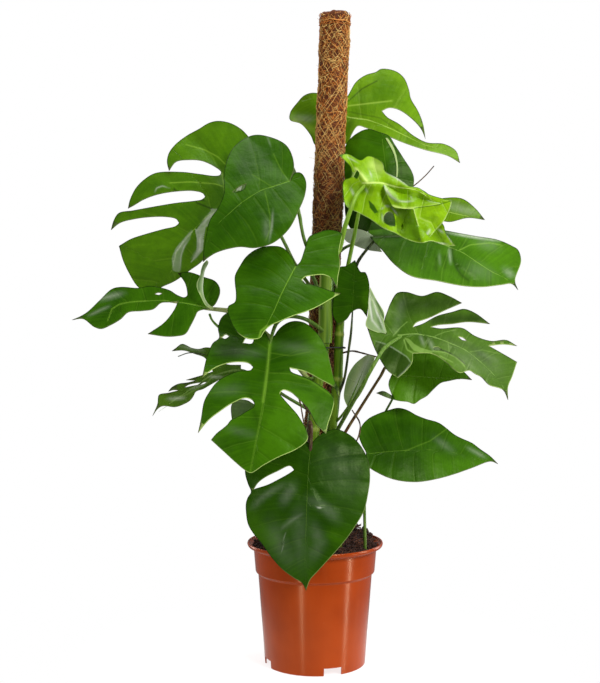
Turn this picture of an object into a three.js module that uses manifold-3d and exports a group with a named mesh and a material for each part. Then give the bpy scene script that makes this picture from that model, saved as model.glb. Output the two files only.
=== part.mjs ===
// A potted swiss cheese plant climbing a coir pole, in millimetres, +Z up.
// The origin is the centre of the pot's underside, on the ground. The front of the plant faces -Y.
// A leaf is one solid: its waved blade, its stalk, and the rib that the stalk runs on into.
import * as THREE from 'three';
import { mergeVertices } from 'three/addons/utils/BufferGeometryUtils.js';
import Module from 'manifold-3d';

const wasm = await Module();
wasm.setup();

// Driving dimensions
const GAP = 0.3; // clearance where two pieces meet
const POT = {
  height: 187.5,
  rimRadius: 105,
  lipHeight: 9,
  bandRadius: 95,
  stepHeight: 142,
  bandFootRadius: 92,
  wallTopRadius: 88,
  baseRadius: 77.5,
  wall: 2,
  floorHeight: 12,
  floorThickness: 2.5,
  footRadius: 34,
  notchWidth: 28,
  notchHeight: 11.5,
  notchTurn: 19.5,
  notches: 4,
  drainRadius: 5,
  drainRing: 55,
  drains: 8,
};
const SOIL = { top: 183, edgeRadius: 95.6, lump: 2, heap: 20, heapX: 70, heapY: 50, sides: 24, rings: 6 };
const POLE = {
  slope: 0.0379, // mm to the right for each mm up
  centreHeight: 187, // where the leaning axis crosses the pot's axis
  foot: 150,
  top: 1000,
  radius: 22.3,
  net: 1.1,
  netAround: 8, // strand crossings in one turn
  netRise: 12, // from one row of crossings to the next
  coreRadius: 9,
  coreFoot: 20,
  coreTop: 970,
};
const BINDING = { height: 982, radius: 1.3 };
const TIE = { height: 488, width: 4, thickness: 1.2 };
const BLADE = { thickness: 1.2, edge: 34, ribEnd: 0.62 };

// Leaf outlines and stalk routes are traced on the front view, in picture pixels. Each traced point is
// then put at its own depth (y, in mm, minus towards the front) on the line of sight through it.
const EYE = new THREE.Vector3(-23.3, -1800, 550);
const EYE_TILT = THREE.MathUtils.degToRad(1.7);
const FOCAL_PX = 1168;
const PICTURE_CENTRE_PX = [300, 341.5];
const MM_PER_PX = 1800 / FOCAL_PX;

// One entry for each leaf. depth is the blade's depth at its base. lean and turn say how far the blade
// comes forward for each mm down and to the right. arch bends the rib forward midway, fold brings both
// margins forward as a V and curl does so as a trough, all in mm, and wave is the height of the ripple
// between the side veins. A crease is a ridge from one pixel to another, with its height and width.
// Each stalk point is a pixel and a depth. A leaf marked under shows its lower face at the front.
const LEAVES = [
  {
    name: 'leaf_upper_left_split',
    finish: 'bright',
    base: [243, 183],
    tip: [150, 294],
    depth: 30,
    lean: 0.5,
    turn: 0.4,
    arch: 18,
    fold: -6,
    curl: -8,
    wave: 3,
    veins: 5,
    outline: [
      [243, 184], [252, 175], [257, 160], [254, 145], [248, 136], [241, 129], [230, 123], [218, 121],
      [209, 123], [199, 129], [188, 135], [176, 144], [169, 153], [167, 162], [169, 171], [176, 162],
      [188, 160], [202, 161], [215, 167], [221, 172], [220, 175], [215, 176], [199, 174], [181, 172],
      [156, 173], [145, 179], [136, 188], [130, 200], [128, 208.5], [133, 206], [144, 199.5], [158, 194.5],
      [176, 191.5], [194, 191], [203, 193.5], [205, 197], [202, 199.5], [194, 201], [176, 203],
      [152, 207], [133, 210.5], [119, 213], [114, 220], [111, 230], [120, 223], [135, 219], [152, 217],
      [166, 217], [176, 219], [179, 223], [176, 226], [164, 229], [146, 234], [131, 239], [119, 246],
      [123, 260], [129, 273], [138, 287], [150, 294], [162, 287], [175, 281], [189, 271], [203, 260],
      [207.5, 250], [210, 234], [213, 222], [224, 210], [238, 200],
    ],
    stalk: {
      radius: 2.6,
      route: [[328, 310, 36], [313, 290, 30], [295, 264, 30], [282, 238, 32], [262, 205, 34]],
    },
  },
  {
    name: 'leaf_upper_heart',
    finish: 'dark',
    base: [290, 181],
    tip: [203, 262],
    depth: -50,
    lean: 0.6,
    turn: 0.2,
    arch: 16,
    fold: 4,
    curl: -16,
    wave: 1.6,
    veins: 6,
    outline: [
      [290, 181], [294, 168], [292, 155], [286, 145], [273, 138], [255, 135], [241, 141], [230, 153],
      [224, 174], [224, 193], [218, 208], [210, 220], [206, 236], [203.5, 252], [203, 262], [209, 257],
      [218, 252], [239, 247], [255, 248], [273, 243], [289, 229], [299, 210], [305, 195], [306, 181],
      [301, 173], [295, 173],
    ],
    holes: [[[233, 192], [239, 187], [246, 184], [244, 189], [238, 192]]],
    stalk: {
      radius: 2.6,
      route: [[325, 278, -34], [316, 262, -44], [306, 245, -47], [298, 209, -46]],
    },
  },
  {
    name: 'leaf_top_behind_pole',
    finish: 'light',
    base: [338, 113],
    tip: [460, 163],
    depth: 62,
    lean: 0.35,
    turn: -0.1,
    arch: 12,
    fold: 0,
    curl: -10,
    wave: 2,
    veins: 5,
    outline: [
      [338, 112], [341, 103], [347, 97], [356, 82], [366, 75], [376, 72], [381, 69], [395, 71],
      [404, 78], [409, 90], [411, 99], [418, 111], [423, 124], [425.5, 139], [421, 129], [412, 119],
      [399, 110], [389, 108], [382, 111], [387, 117], [399, 124], [414, 136], [427, 142.5], [444, 144],
      [456, 151], [460, 163], [448, 156], [425, 150], [404, 143], [387, 136], [366, 128], [358, 126],
      [352, 134], [348, 143], [338, 145], [328, 150], [315, 145], [311, 136], [301, 124], [290, 120],
      [290, 113], [297, 103], [305, 95], [316, 93], [329, 100],
    ],
    stalk: {
      radius: 2.6,
      route: [[331, 205, 36], [334, 165, 50], [337, 135, 66]],
    },
  },
  {
    name: 'leaf_behind_new',
    finish: 'dark',
    base: [383, 137],
    tip: [392, 207],
    depth: 6,
    lean: 0.2,
    turn: 0,
    arch: 6,
    fold: -6,
    curl: -10,
    wave: 1.5,
    veins: 5,
    outline: [
      [389, 136], [379, 132], [368, 129], [356, 134], [346, 145], [344.5, 165], [344.5, 195], [346, 218],
      [351, 229], [359, 233], [367, 232], [372, 222], [378, 212], [392, 207], [404, 200], [412, 190],
      [414, 180], [412, 172], [404, 159], [395, 145],
    ],
    twigs: [
      { radius: [1, 0.8], route: [[400, 193, 0], [412, 187, -2], [425, 176, -4], [434, 166, -5]] },
    ],
    stalk: {
      radius: 2.8,
      route: [[343, 290, -22], [350, 256, -34], [355, 232, -38], [359, 212, -28], [368, 178, 0]],
    },
  },
  {
    name: 'leaf_new_lime',
    finish: 'new',
    base: [363, 187],
    tip: [456, 246],
    depth: -60,
    lean: 0.45,
    turn: 0.2,
    arch: 4,
    fold: 6,
    curl: 4,
    wave: 3.5,
    veins: 5,
    creases: [
      [[345, 158], [372, 186], 9, 7],
      [[366, 183], [404, 186], 8, 6],
      [[404, 186], [450, 202], 9, 7],
      [[383, 183], [400, 222], -8, 6],
      [[412, 208], [424, 241], 10, 7],
      [[346, 186], [352, 208], -6, 6],
    ],
    outline: [
      [339, 155], [348, 154], [361, 160], [368, 156], [382, 162], [385, 171], [399, 179], [409, 186],
      [419, 188], [428, 194], [445, 199], [452, 200], [451, 205], [447, 214], [441, 220], [444, 226],
      [446, 233], [456, 246], [444, 245], [431, 241], [422, 243], [415, 242], [404, 238], [395, 233],
      [383, 228], [370, 219], [359, 213], [346, 206], [343, 193], [344, 180], [351, 177], [351, 168],
      [343, 159],
    ],
    holes: [
      [[384.5, 222], [384, 216], [388, 212], [392, 213], [394.5, 219], [395, 226], [389, 225]],
      [[353.5, 176.5], [357, 170], [359.5, 173], [357, 178.5]],
    ],
    patches: [
      {
        depth: -70,
        creases: [[[383, 183], [450, 201], -10, 6]],
        outline: [
          [383, 183], [397, 186.5], [409, 188], [419, 188.5], [427, 193], [434, 200], [445, 200.5],
          [451, 200.5], [447, 205], [436, 205.5], [425, 207.5], [413, 209], [401, 208.5], [393, 206.5],
          [388, 199], [385, 191],
        ],
      },
      {
        depth: -70.6,
        creases: [[[418, 238], [429, 243], -12, 7]],
        outline: [
          [413, 208], [425, 206.5], [440, 204], [452, 200.5], [449, 211], [443, 222], [434, 232],
          [428, 239], [424, 242], [420, 232], [416, 219],
        ],
      },
    ],
    stalk: {
      radius: 4.2,
      route: [[327, 262, -33], [334, 257, -43], [339.5, 248, -47], [343, 234, -58], [347, 220, -72],
        [353, 204, -79], [359, 191, -70]],
    },
  },
  {
    name: 'leaf_small_behind_new',
    finish: 'dark',
    base: [430, 208],
    tip: [485, 220],
    depth: -12,
    lean: 0.2,
    turn: 0.1,
    arch: 4,
    fold: 0,
    curl: -4,
    wave: 1,
    veins: 4,
    outline: [
      [430, 208], [434, 201], [451, 197.5], [463, 199], [475, 208], [485, 220], [468, 218], [448, 222],
      [435, 217],
    ],
    stalk: {
      radius: 2,
      route: [[331, 228, 36], [350, 230, 52], [384, 218, 60], [402, 212, 48], [418, 208, 14]],
    },
  },
  {
    name: 'leaf_right_large',
    finish: 'gloss',
    base: [371, 238],
    tip: [518, 290],
    depth: -8,
    lean: 0.7,
    turn: -0.35,
    arch: 12,
    fold: -4,
    curl: -14,
    wave: 1.8,
    veins: 7,
    outline: [
      [371, 238], [367, 228], [366.5, 217], [371, 209], [384, 207], [397, 213], [408, 223], [448, 231],
      [475, 236],
      [498, 240], [512, 246], [518, 250], [521, 261], [515, 281], [518, 290], [512, 284], [501, 285],
      [483, 287], [463, 286], [437, 281], [411, 276], [394, 264], [382, 250],
    ],
    patches: [
      {
        under: true,
        depth: -5,
        lean: -0.6,
        outline: [
          [373, 236], [362, 230], [350, 229], [344, 233], [345, 240], [356, 246], [368, 250], [382, 252],
        ],
      },
    ],
    stalk: {
      radius: 2.4,
      route: [[343, 302, -24], [352, 277, -22], [359, 260, -16]],
    },
  },
  {
    name: 'leaf_right_split',
    finish: 'grey',
    base: [396, 336],
    tip: [508, 400],
    depth: -68,
    lean: 0.5,
    turn: -0.3,
    arch: 14,
    fold: 4,
    curl: -10,
    wave: 2.4,
    veins: 6,
    outline: [
      [386, 334], [384, 322], [387, 312], [391, 302], [397, 293], [406, 292], [422, 296], [437, 292],
      [449, 296], [462, 303], [446, 310], [429, 318], [416, 323], [413, 327], [422, 324], [437, 316],
      [452, 312], [464, 309], [475, 313], [490, 324], [468, 322], [452, 324], [439, 325], [431, 327],
      [440, 328.5], [462, 328], [475, 336], [491, 341], [506, 340], [517, 346], [503, 344.5], [489, 346],
      [498, 351], [517, 362], [512, 377], [508, 387], [508, 400], [503, 390], [489, 385], [481, 377],
      [475, 374], [469.5, 370.5], [460, 373], [453, 369], [446, 362.5], [432, 354], [413, 353.5], [412, 363],
      [405, 372], [398, 378], [388, 371], [381, 361], [374, 347], [367, 327], [376, 331],
    ],
    holes: [
      [[458.5, 336.8], [462.5, 337.5], [466.5, 340.6], [462, 340]],
      [[433.5, 347.4], [438, 347.2], [441, 349.6], [435, 350]],
    ],
    patches: [
      {
        under: true,
        depth: -66,
        lean: 0.12,
        outline: [
          [387, 334], [384, 322], [384, 313], [376, 299], [370, 287], [368.5, 300], [368, 314], [366, 326],
          [376, 332],
        ],
      },
    ],
    stalk: {
      radius: 2.8,
      route: [[331, 442, -32], [338, 429, -46], [361, 388, -96], [372, 368, -109], [381, 353, -99],
        [388, 343.5, -84]],
    },
  },
  {
    name: 'leaf_right_low_entire',
    finish: 'dark',
    base: [393, 375],
    tip: [472, 380],
    depth: -14,
    lean: 0.5,
    turn: -0.2,
    arch: 6,
    fold: 0,
    curl: -10,
    wave: 1.2,
    veins: 5,
    outline: [
      [392, 374], [400, 362], [412, 354], [425, 350], [436, 353], [450, 361], [464, 372], [472, 380],
      [460, 379], [449, 381], [441, 383], [433, 390], [427, 396], [420, 400], [414, 404], [408, 402],
      [399, 401], [388, 398], [376, 393], [383, 391], [392, 395.5], [388.5, 384],
    ],
    stalk: {
      radius: 2.2,
      route: [[333, 454, -31], [346, 431, -36], [366, 399, -32], [387, 366, -20]],
    },
  },
  {
    name: 'leaf_low_right_heart',
    finish: 'dark',
    base: [367, 453],
    tip: [498, 464],
    depth: -52,
    lean: 0.6,
    turn: -0.3,
    arch: 12,
    fold: 0,
    curl: -16,
    wave: 1.8,
    veins: 7,
    outline: [
      [366, 453], [362, 445], [359, 436], [361, 427], [368, 419], [380, 413], [389, 410], [398, 408],
      [407, 410], [416, 415], [426, 419], [439, 423], [455, 435], [463, 439], [472, 443], [480, 449],
      [490, 456], [498, 464], [491, 461.5], [472, 468], [455, 474], [437, 479], [418, 482], [401, 481],
      [389, 478], [378, 473], [370, 468], [365, 461],
    ],
    stalk: {
      radius: 2.2,
      route: [[365, 556, -46], [365, 540, -45], [364.5, 508, -42], [365, 475, -42]],
    },
  },
  {
    name: 'leaf_front_heart',
    finish: 'dark',
    base: [311, 444],
    tip: [306, 591],
    depth: -94,
    lean: 0.16,
    turn: 0,
    arch: 18,
    fold: -2,
    curl: -12,
    wave: 2.2,
    veins: 7,
    outline: [
      [311, 444], [318, 436], [327, 431], [336, 429], [345, 432], [355, 439], [364, 451], [369, 464],
      [370, 479], [368, 494], [364, 511], [354, 528], [347, 538], [337, 550], [328, 560], [318, 571],
      [310, 580], [306, 591], [302, 583], [294, 578], [282, 569], [272, 558], [262, 544], [253, 533],
      [248, 524], [246, 512], [246, 503], [248, 497], [251, 492], [248, 484], [245, 472], [247, 460],
      [255, 449], [268, 440], [285, 436], [300, 438],
    ],
    holes: [
      [
        [254, 489], [258, 483], [265, 477.5], [277, 471.5], [290, 466], [294, 470], [288, 474],
        [279, 479], [268, 484.5],
      ],
    ],
    stalk: {
      radius: 3,
      route: [[314, 482, -34], [311, 455, -58], [309, 425, -84], [310.5, 421, -96], [311, 432, -101]],
    },
  },
  {
    name: 'leaf_front_split',
    finish: 'dark',
    base: [269, 339],
    tip: [251, 473],
    depth: -106,
    lean: 0.5,
    turn: 0.04,
    arch: 20,
    fold: 4,
    curl: -18,
    wave: 2.4,
    veins: 6,
    outline: [
      [269, 339], [273, 337], [279, 329], [287, 323], [295, 321], [305, 323], [314, 330], [321, 338],
      [327, 350], [330, 362], [334, 379], [339, 390], [339, 398], [334.5, 388], [321, 380], [306, 372],
      [290, 368], [291, 371.5], [307, 378], [321, 386], [330, 393], [334, 400], [332, 412], [328, 424],
      [326, 434], [316, 424], [308, 409], [297, 397.5], [291, 392.5], [283, 390], [280, 393.5],
      [283, 398], [290, 406], [297, 414], [301, 420], [306, 429], [308, 438], [305, 443], [295, 450],
      [279, 457], [264, 465], [251, 473], [246, 471], [235, 462], [223, 451], [211, 440], [216, 434],
      [227, 425], [231, 420], [237, 417], [247, 411], [254, 406], [253, 401], [246, 398], [231, 404],
      [222, 410], [209, 420], [198, 433], [201, 419], [204, 402], [208, 394], [217, 382], [228, 375],
      [240, 371], [251, 370], [253, 367], [249, 363.5], [240, 362], [229, 363], [217, 367], [209, 372],
      [202, 378], [206, 360], [209, 351], [213, 343], [219, 338], [218, 328], [222, 317], [232, 311],
      [246, 313], [258, 322], [266, 333],
    ],
    holes: [
      [[243, 343], [247, 337], [254, 338.5], [252, 343.5]],
      [[222, 337.5], [226, 334.5], [229, 336.5], [225, 339]],
    ],
    stalk: {
      radius: 2.8,
      route: [[326, 334, -34], [317, 326, -54], [302, 318, -78], [286, 317, -90], [274, 325, -94]],
    },
  },
  {
    name: 'leaf_centre_heart',
    finish: 'dark',
    base: [296, 266],
    tip: [260, 338],
    depth: -96,
    lean: 0.62,
    turn: 0,
    arch: 10,
    fold: 5,
    curl: -14,
    wave: 1.6,
    veins: 6,
    outline: [
      [296, 266], [300, 262], [305, 248], [309, 237], [317, 233], [327, 230], [337, 231], [342, 234],
      [341, 241], [339, 252], [340, 265], [338, 277], [337, 289], [331, 278.5], [324, 275], [313, 275.5],
      [305, 277], [302, 280], [304, 283], [311, 284.5], [321, 287.5], [331, 291], [341, 293.5],
      [336, 296], [326, 302], [315, 308], [305, 312], [293, 316], [281, 321], [270, 326], [264, 332],
      [260, 338], [249, 339], [239, 334], [231, 322], [228, 307], [235, 302], [236, 294], [235, 284],
      [235, 276], [240, 266], [246, 257], [255, 250], [263, 247], [273, 246], [281, 247], [287, 251],
      [293, 259],
    ],
    stalk: {
      radius: 2.8,
      route: [[325, 318, -34], [320, 296, -54], [312, 275, -76], [303, 265, -88]],
    },
  },
  {
    name: 'leaf_left_twisted',
    finish: 'dark',
    base: [209, 308],
    tip: [72, 320],
    depth: -58,
    lean: 0.55,
    turn: 0.3,
    arch: 10,
    fold: 3,
    curl: -6,
    wave: 2.6,
    veins: 6,
    outline: [
      [210, 308], [214.6, 305], [217.8, 299.6], [220, 293], [219.5, 287], [215, 281], [204, 277],
      [188.5, 272], [177.6, 273], [184.6, 282.4], [187, 290.7], [187, 295.8], [184, 297.4],
      [176.4, 294.5], [170.6, 290.7], [160.4, 287.5], [150, 286], [138, 288], [121, 287], [112, 289],
      [99, 301], [88, 311.5], [81, 316], [72, 320], [83, 319], [94, 327], [101, 329], [111, 325],
      [121, 319], [128, 312.5], [142, 311], [153.4, 309.2], [161, 303], [169, 302.3], [178, 301.5],
      [173.8, 310.5], [164.2, 322.6], [147.7, 334], [165.5, 336.6], [175.7, 336.3], [185.3, 334],
      [191, 325.2], [195.5, 316.2], [198, 311.5],
    ],
    holes: [[[155, 294], [158, 292.7], [162, 293.4], [159, 295]]],
    stalk: {
      radius: 3.4,
      route: [[315, 388, -34], [294, 362, -48], [264, 332, -56], [240, 314, -60], [222, 309.5, -62]],
    },
    patches: [
      {
        under: true,
        depth: -63,
        lean: 0.08,
        turn: 0,
        wave: 0,
        outline: [
          [207, 260], [208.5, 262], [204.8, 271], [203.4, 281], [203, 290], [204.7, 298], [209, 304.5],
          [214, 307.5], [213, 310], [206, 306], [200.5, 296], [197, 288], [197, 282.5], [200, 275.5],
          [201.2, 269], [203.5, 263.5],
        ],
      },
    ],
  },
  {
    name: 'leaf_left_low_narrow',
    finish: 'dark',
    base: [213, 374],
    tip: [152, 416],
    depth: -30,
    lean: 0.9,
    turn: 0.3,
    arch: 4,
    fold: 2,
    curl: -3,
    wave: 2,
    veins: 4,
    outline: [
      [241, 365], [226, 364], [216, 357], [213, 349], [206, 347.5], [199, 349], [192, 348], [182, 344],
      [176, 348], [172, 351], [184, 350.5], [195, 354], [205, 358], [209, 366], [213, 371.5],
      [206, 374], [198, 376.5], [186, 380], [196, 380.5], [188, 382.5], [178, 384], [171, 388],
      [168.5, 391.5], [173, 390], [179, 390.4], [168, 393], [159, 395], [157.5, 404], [152.5, 416],
      [158, 408.5], [163, 406], [175, 407], [183, 404.5], [190, 400.5], [193.5, 396], [196, 391.5],
      [203, 389], [210, 385], [217, 381], [228, 375], [240, 373],
    ],
    holes: [[[184.5, 387.6], [188, 385], [198, 382.8], [207, 382], [204, 384], [195, 385.4]]],
    twigs: [
      { radius: [1, 0.7], route: [[206, 355, -19], [196, 353, -15], [188, 353, -13], [178, 356.5, -12]] },
    ],
    stalk: {
      radius: 2.4,
      route: [[313, 412, -34], [285, 396, -40], [255, 376, -40], [236, 369, -38]],
    },
  },
  {
    name: 'leaf_centre_dark',
    finish: 'dark',
    base: [352, 318],
    tip: [355, 260],
    depth: -41,
    lean: -0.05,
    turn: 0.1,
    arch: 3,
    fold: 4,
    curl: -4,
    wave: 1.2,
    veins: 4,
    outline: [
      [352, 312], [347, 319], [338, 325], [333, 316], [333, 300], [336, 282], [340, 267], [346, 266],
      [355, 260], [361, 272], [365, 272], [369, 282], [369, 300], [367, 317], [360, 309],
    ],
    stalk: {
      radius: 1.8,
      route: [[337, 398, -31], [344, 380, -46], [348, 355, -50], [351, 333, -50]],
    },
  },
  {
    name: 'leaf_centre_pale',
    finish: 'dark',
    under: true,
    base: [348, 408],
    tip: [369, 356],
    depth: -46,
    lean: -0.1,
    turn: 0.2,
    arch: 3,
    fold: 5,
    curl: 0,
    wave: 1,
    veins: 4,
    outline: [
      [348, 408], [344, 398], [345, 386], [349, 373], [355, 364], [362, 358], [367, 355], [375, 357],
      [372, 368], [366, 384], [358, 398],
    ],
    stalk: {
      radius: 1.8,
      route: [[333, 424, -32], [342, 416, -42]],
    },
  },
  {
    name: 'leaf_low_behind_front',
    finish: 'dark',
    base: [262, 404],
    tip: [262, 456],
    depth: -50,
    lean: 0.3,
    turn: 0,
    arch: 5,
    fold: 0,
    curl: -8,
    wave: 1.2,
    veins: 5,
    outline: [
      [262, 406], [254, 404], [248, 400.5], [240, 399.5], [232, 404], [232, 420], [236, 436],
      [247, 449], [262, 456], [280, 450], [294, 438], [297, 424], [288, 410], [276, 404], [268, 403],
    ],
    stalk: {
      radius: 2,
      route: [[313, 446, -34], [298, 428, -52], [282, 412, -60], [271, 404, -58]],
    },
  },
  {
    name: 'leaf_back_left',
    finish: 'dark',
    under: true,
    base: [292, 190],
    tip: [234, 234],
    depth: 108,
    lean: -0.45,
    turn: 0.1,
    arch: -8,
    fold: 0,
    curl: 12,
    wave: 1.6,
    veins: 6,
    outline: [
      [292, 190], [297, 176], [289, 160], [274, 150], [257, 149], [244, 158], [237, 175], [234, 195],
      [232, 215], [234, 234], [250, 236], [266, 233], [280, 222], [291, 207], [297, 196],
    ],
    stalk: {
      radius: 2.3,
      route: [[328, 278, 36], [314, 258, 46], [306, 245, 54], [301.5, 227, 76], [298, 208, 100]],
    },
  },
  {
    name: 'leaf_back_centre',
    finish: 'dark',
    under: true,
    base: [289, 264],
    tip: [252, 326],
    depth: 92,
    lean: -0.85,
    turn: 0.15,
    arch: -8,
    fold: 0,
    curl: 12,
    wave: 1.6,
    veins: 6,
    outline: [
      [289, 264], [281, 256], [268, 254], [254, 260], [246, 272], [243, 288], [241, 304], [246, 318],
      [252, 326], [266, 319], [280, 312], [292, 302], [298, 288], [298, 274],
    ],
    stalk: {
      radius: 2.3,
      route: [[327, 338, 36], [316, 312, 64], [304, 284, 88]],
    },
  },
  {
    name: 'leaf_back_right',
    finish: 'dark',
    under: true,
    base: [386, 242],
    tip: [486, 266],
    depth: 66,
    lean: -0.9,
    turn: -0.3,
    arch: -10,
    fold: 0,
    curl: 12,
    wave: 1.6,
    veins: 6,
    outline: [
      [386, 242], [389, 232], [400, 226], [418, 228], [438, 234], [458, 241], [474, 251], [486, 266],
      [470, 272], [450, 274], [430, 272], [412, 266], [397, 257],
    ],
    stalk: {
      radius: 2.3,
      route: [[329, 262, 36], [348, 246, 52], [368, 242, 60]],
    },
  },
  {
    name: 'leaf_back_low_right',
    finish: 'dark',
    under: true,
    base: [409, 368],
    tip: [474, 366],
    depth: 34,
    lean: -0.4,
    turn: -0.35,
    arch: -6,
    fold: 0,
    curl: 8,
    wave: 1.4,
    veins: 5,
    outline: [
      [409, 368], [409, 357], [418, 347], [434, 342], [450, 346], [463, 354], [474, 366], [460, 369],
      [448, 373], [434, 379], [419, 379],
    ],
    stalk: {
      radius: 1.8,
      route: [[364.5, 552, 8], [364.5, 520, 10], [366, 484, 14], [382, 420, 14], [393, 398, 14],
        [402, 380, 30]],
    },
  },
  {
    name: 'leaf_back_low_centre',
    finish: 'dark',
    under: true,
    base: [334, 446],
    tip: [326, 505],
    depth: 92,
    lean: -0.9,
    turn: 0,
    arch: -8,
    fold: 0,
    curl: 10,
    wave: 1.6,
    veins: 6,
    outline: [
      [334, 446], [343, 440], [352, 446], [358, 458], [358, 474], [349, 490], [338, 500], [326, 505],
      [312, 496], [302, 482], [298, 466], [304, 452], [316, 444], [327, 443],
    ],
    stalk: {
      radius: 2.3,
      route: [[322, 488, 33], [326, 462, 58], [331, 440, 80], [334, 438, 92]],
    },
  },
];

// Climbing stems, as pixels and depths from the soil up, with the heights of their node rings.
const STEMS = [
  {
    name: 'stem_left',
    radius: [8.5, 9.5, 8.5],
    route: [
      [318, 558, -34], [316, 520, -35], [314, 480, -35], [313, 430, -35], [317, 385, -35],
      [324, 343, -34], [326, 300, -34], [327, 250, -33],
    ],
    rings: [0.42, 0.66, 0.82],
  },
  {
    name: 'stem_right',
    radius: [7.5, 8, 6],
    route: [
      [338, 558, -28], [336, 520, -31], [333, 480, -32], [332, 430, -32], [335, 400, -32],
      [338, 376, -30], [339, 340, -28], [341, 310, -26], [344, 278, -22],
    ],
    rings: [0.3, 0.64, 0.8],
  },
  {
    name: 'stem_back',
    radius: [8, 8.5, 6.5],
    route: [
      [322, 545, 34], [322, 500, 35], [322, 450, 35], [324, 400, 35], [326, 340, 35], [328, 280, 35],
      [331, 220, 35], [332, 190, 35],
    ],
    rings: [0.36, 0.62, 0.86],
  },
];

const ROOTS = [
  { name: 'aerial_root_right', radius: [1.6, 1], route: [[339, 354, -29], [352, 351, -35], [362, 353, -34],
    [377, 357, -30]] },
  { name: 'aerial_root_left', radius: [1.6, 1.8], route: [[318, 379, -35], [290, 374, -62], [250, 349, -66],
    [221, 329, -50], [212, 320, -42], [209.5, 314, -38]] },
  { name: 'aerial_root_front', radius: [1.8, 1], route: [[313, 418, -35], [303, 402, -56], [296, 385, -66],
    [300, 402, -76], [304, 424, -78]] },
  { name: 'aerial_root_low', radius: [1.8, 1], route: [[333, 464, -32], [345, 452, -44], [357, 440, -50],
    [360, 424, -46], [352, 410, -36]] },
];

const MATERIALS = {
  pot: new THREE.MeshStandardMaterial({ color: 0xa5461f, roughness: 0.42, metalness: 0 }),
  soil: new THREE.MeshStandardMaterial({ color: 0x2e1c12, roughness: 1, metalness: 0 }),
  core: new THREE.MeshStandardMaterial({ color: 0x3c2c1e, roughness: 0.8, metalness: 0 }),
  coir: new THREE.MeshStandardMaterial({ color: 0x9a6232, roughness: 0.95, metalness: 0 }),
  binding: new THREE.MeshStandardMaterial({ color: 0xd9b070, roughness: 0.9, metalness: 0 }),
  dark: new THREE.MeshStandardMaterial({ color: 0x2f6016, roughness: 0.42, metalness: 0 }),
  gloss: new THREE.MeshStandardMaterial({ color: 0x4a862c, roughness: 0.36, metalness: 0 }),
  grey: new THREE.MeshStandardMaterial({ color: 0x4c8238, roughness: 0.42, metalness: 0 }),
  bright: new THREE.MeshStandardMaterial({ color: 0x468c0a, roughness: 0.42, metalness: 0 }),
  light: new THREE.MeshStandardMaterial({ color: 0x5fa51e, roughness: 0.45, metalness: 0 }),
  new: new THREE.MeshStandardMaterial({ color: 0x96c81e, roughness: 0.4, metalness: 0 }),
  stem: new THREE.MeshStandardMaterial({ color: 0x8ca03c, roughness: 0.55, metalness: 0 }),
  root: new THREE.MeshStandardMaterial({ color: 0x6a4630, roughness: 0.8, metalness: 0 }),
  tie: new THREE.MeshStandardMaterial({ color: 0x1c2418, roughness: 0.6, metalness: 0 }),
};

const plant = new THREE.Group();

function solidOf(geometry) {
  const bare = geometry.index ? geometry.toNonIndexed() : geometry.clone();
  bare.deleteAttribute('normal');
  bare.deleteAttribute('uv');
  const merged = mergeVertices(bare, 1e-4);
  const mesh = new wasm.Mesh({
    numProp: 3,
    vertProperties: new Float32Array(merged.attributes.position.array),
    triVerts: new Uint32Array(merged.index.array),
  });
  return new wasm.Manifold(mesh);
}

function addNode(name, solid, material, parent = plant) {
  const { vertProperties, triVerts } = solid.getMesh();
  const geometry = new THREE.BufferGeometry();
  geometry.setAttribute('position', new THREE.BufferAttribute(new Float32Array(vertProperties), 3));
  geometry.setIndex(new THREE.BufferAttribute(new Uint32Array(triVerts), 1));
  geometry.computeVertexNormals();
  const mesh = new THREE.Mesh(geometry, MATERIALS[material]);
  mesh.name = name;
  parent.add(mesh);
  return mesh;
}

// The point at a depth that the front view shows at a picture pixel.
function onSight(px, py, depth) {
  const across = (px - PICTURE_CENTRE_PX[0]) / FOCAL_PX;
  const rise = (PICTURE_CENTRE_PX[1] - py) / FOCAL_PX;
  const ray = new THREE.Vector3(
    across,
    Math.cos(EYE_TILT) + rise * Math.sin(EYE_TILT),
    rise * Math.cos(EYE_TILT) - Math.sin(EYE_TILT),
  );
  return ray.multiplyScalar((depth - EYE.y) / ray.y).add(EYE);
}

const routePoints = (route) => route.map(([px, py, depth]) => onSight(px, py, depth));

// How far forward of its base a blade lies at a pixel, in mm.
function bladeForward(leaf, px, py) {
  const dx = px - leaf.base[0];
  const dy = py - leaf.base[1];
  const ribX = leaf.tip[0] - leaf.base[0];
  const ribY = leaf.tip[1] - leaf.base[1];
  const length2 = ribX * ribX + ribY * ribY;
  const along = (dx * ribX + dy * ribY) / length2;
  const aside = Math.abs(dx * ribY - dy * ribX) / length2;
  const rib = THREE.MathUtils.clamp(along, 0, 1);
  const vein = Math.sin(2 * Math.PI * leaf.veins * (along - 0.45 * aside));
  let forward = leaf.lean * dy * MM_PER_PX + leaf.turn * dx * MM_PER_PX;
  forward += leaf.arch * 4 * rib * (1 - rib);
  forward += leaf.fold * 2 * aside + leaf.curl * 4 * aside * aside;
  forward += leaf.wave * vein * Math.min(1, 3 * aside);
  for (const [from, to, height, width] of leaf.creases ?? []) {
    const line = new THREE.Line3(new THREE.Vector3(...from, 0), new THREE.Vector3(...to, 0));
    const spot = new THREE.Vector3(px, py, 0);
    const off = line.closestPointToPoint(spot, true, new THREE.Vector3()).distanceTo(spot);
    forward += height * Math.exp(-((off / width) ** 2));
  }
  return forward;
}

const bladePoint = (leaf, px, py) => onSight(px, py, leaf.depth - bladeForward(leaf, px, py));

function bladeNormal(leaf, px, py) {
  const step = 1.5;
  const right = bladePoint(leaf, px + step, py).sub(bladePoint(leaf, px - step, py));
  const down = bladePoint(leaf, px, py + step).sub(bladePoint(leaf, px, py - step));
  return down.cross(right).normalize();
}

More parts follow.
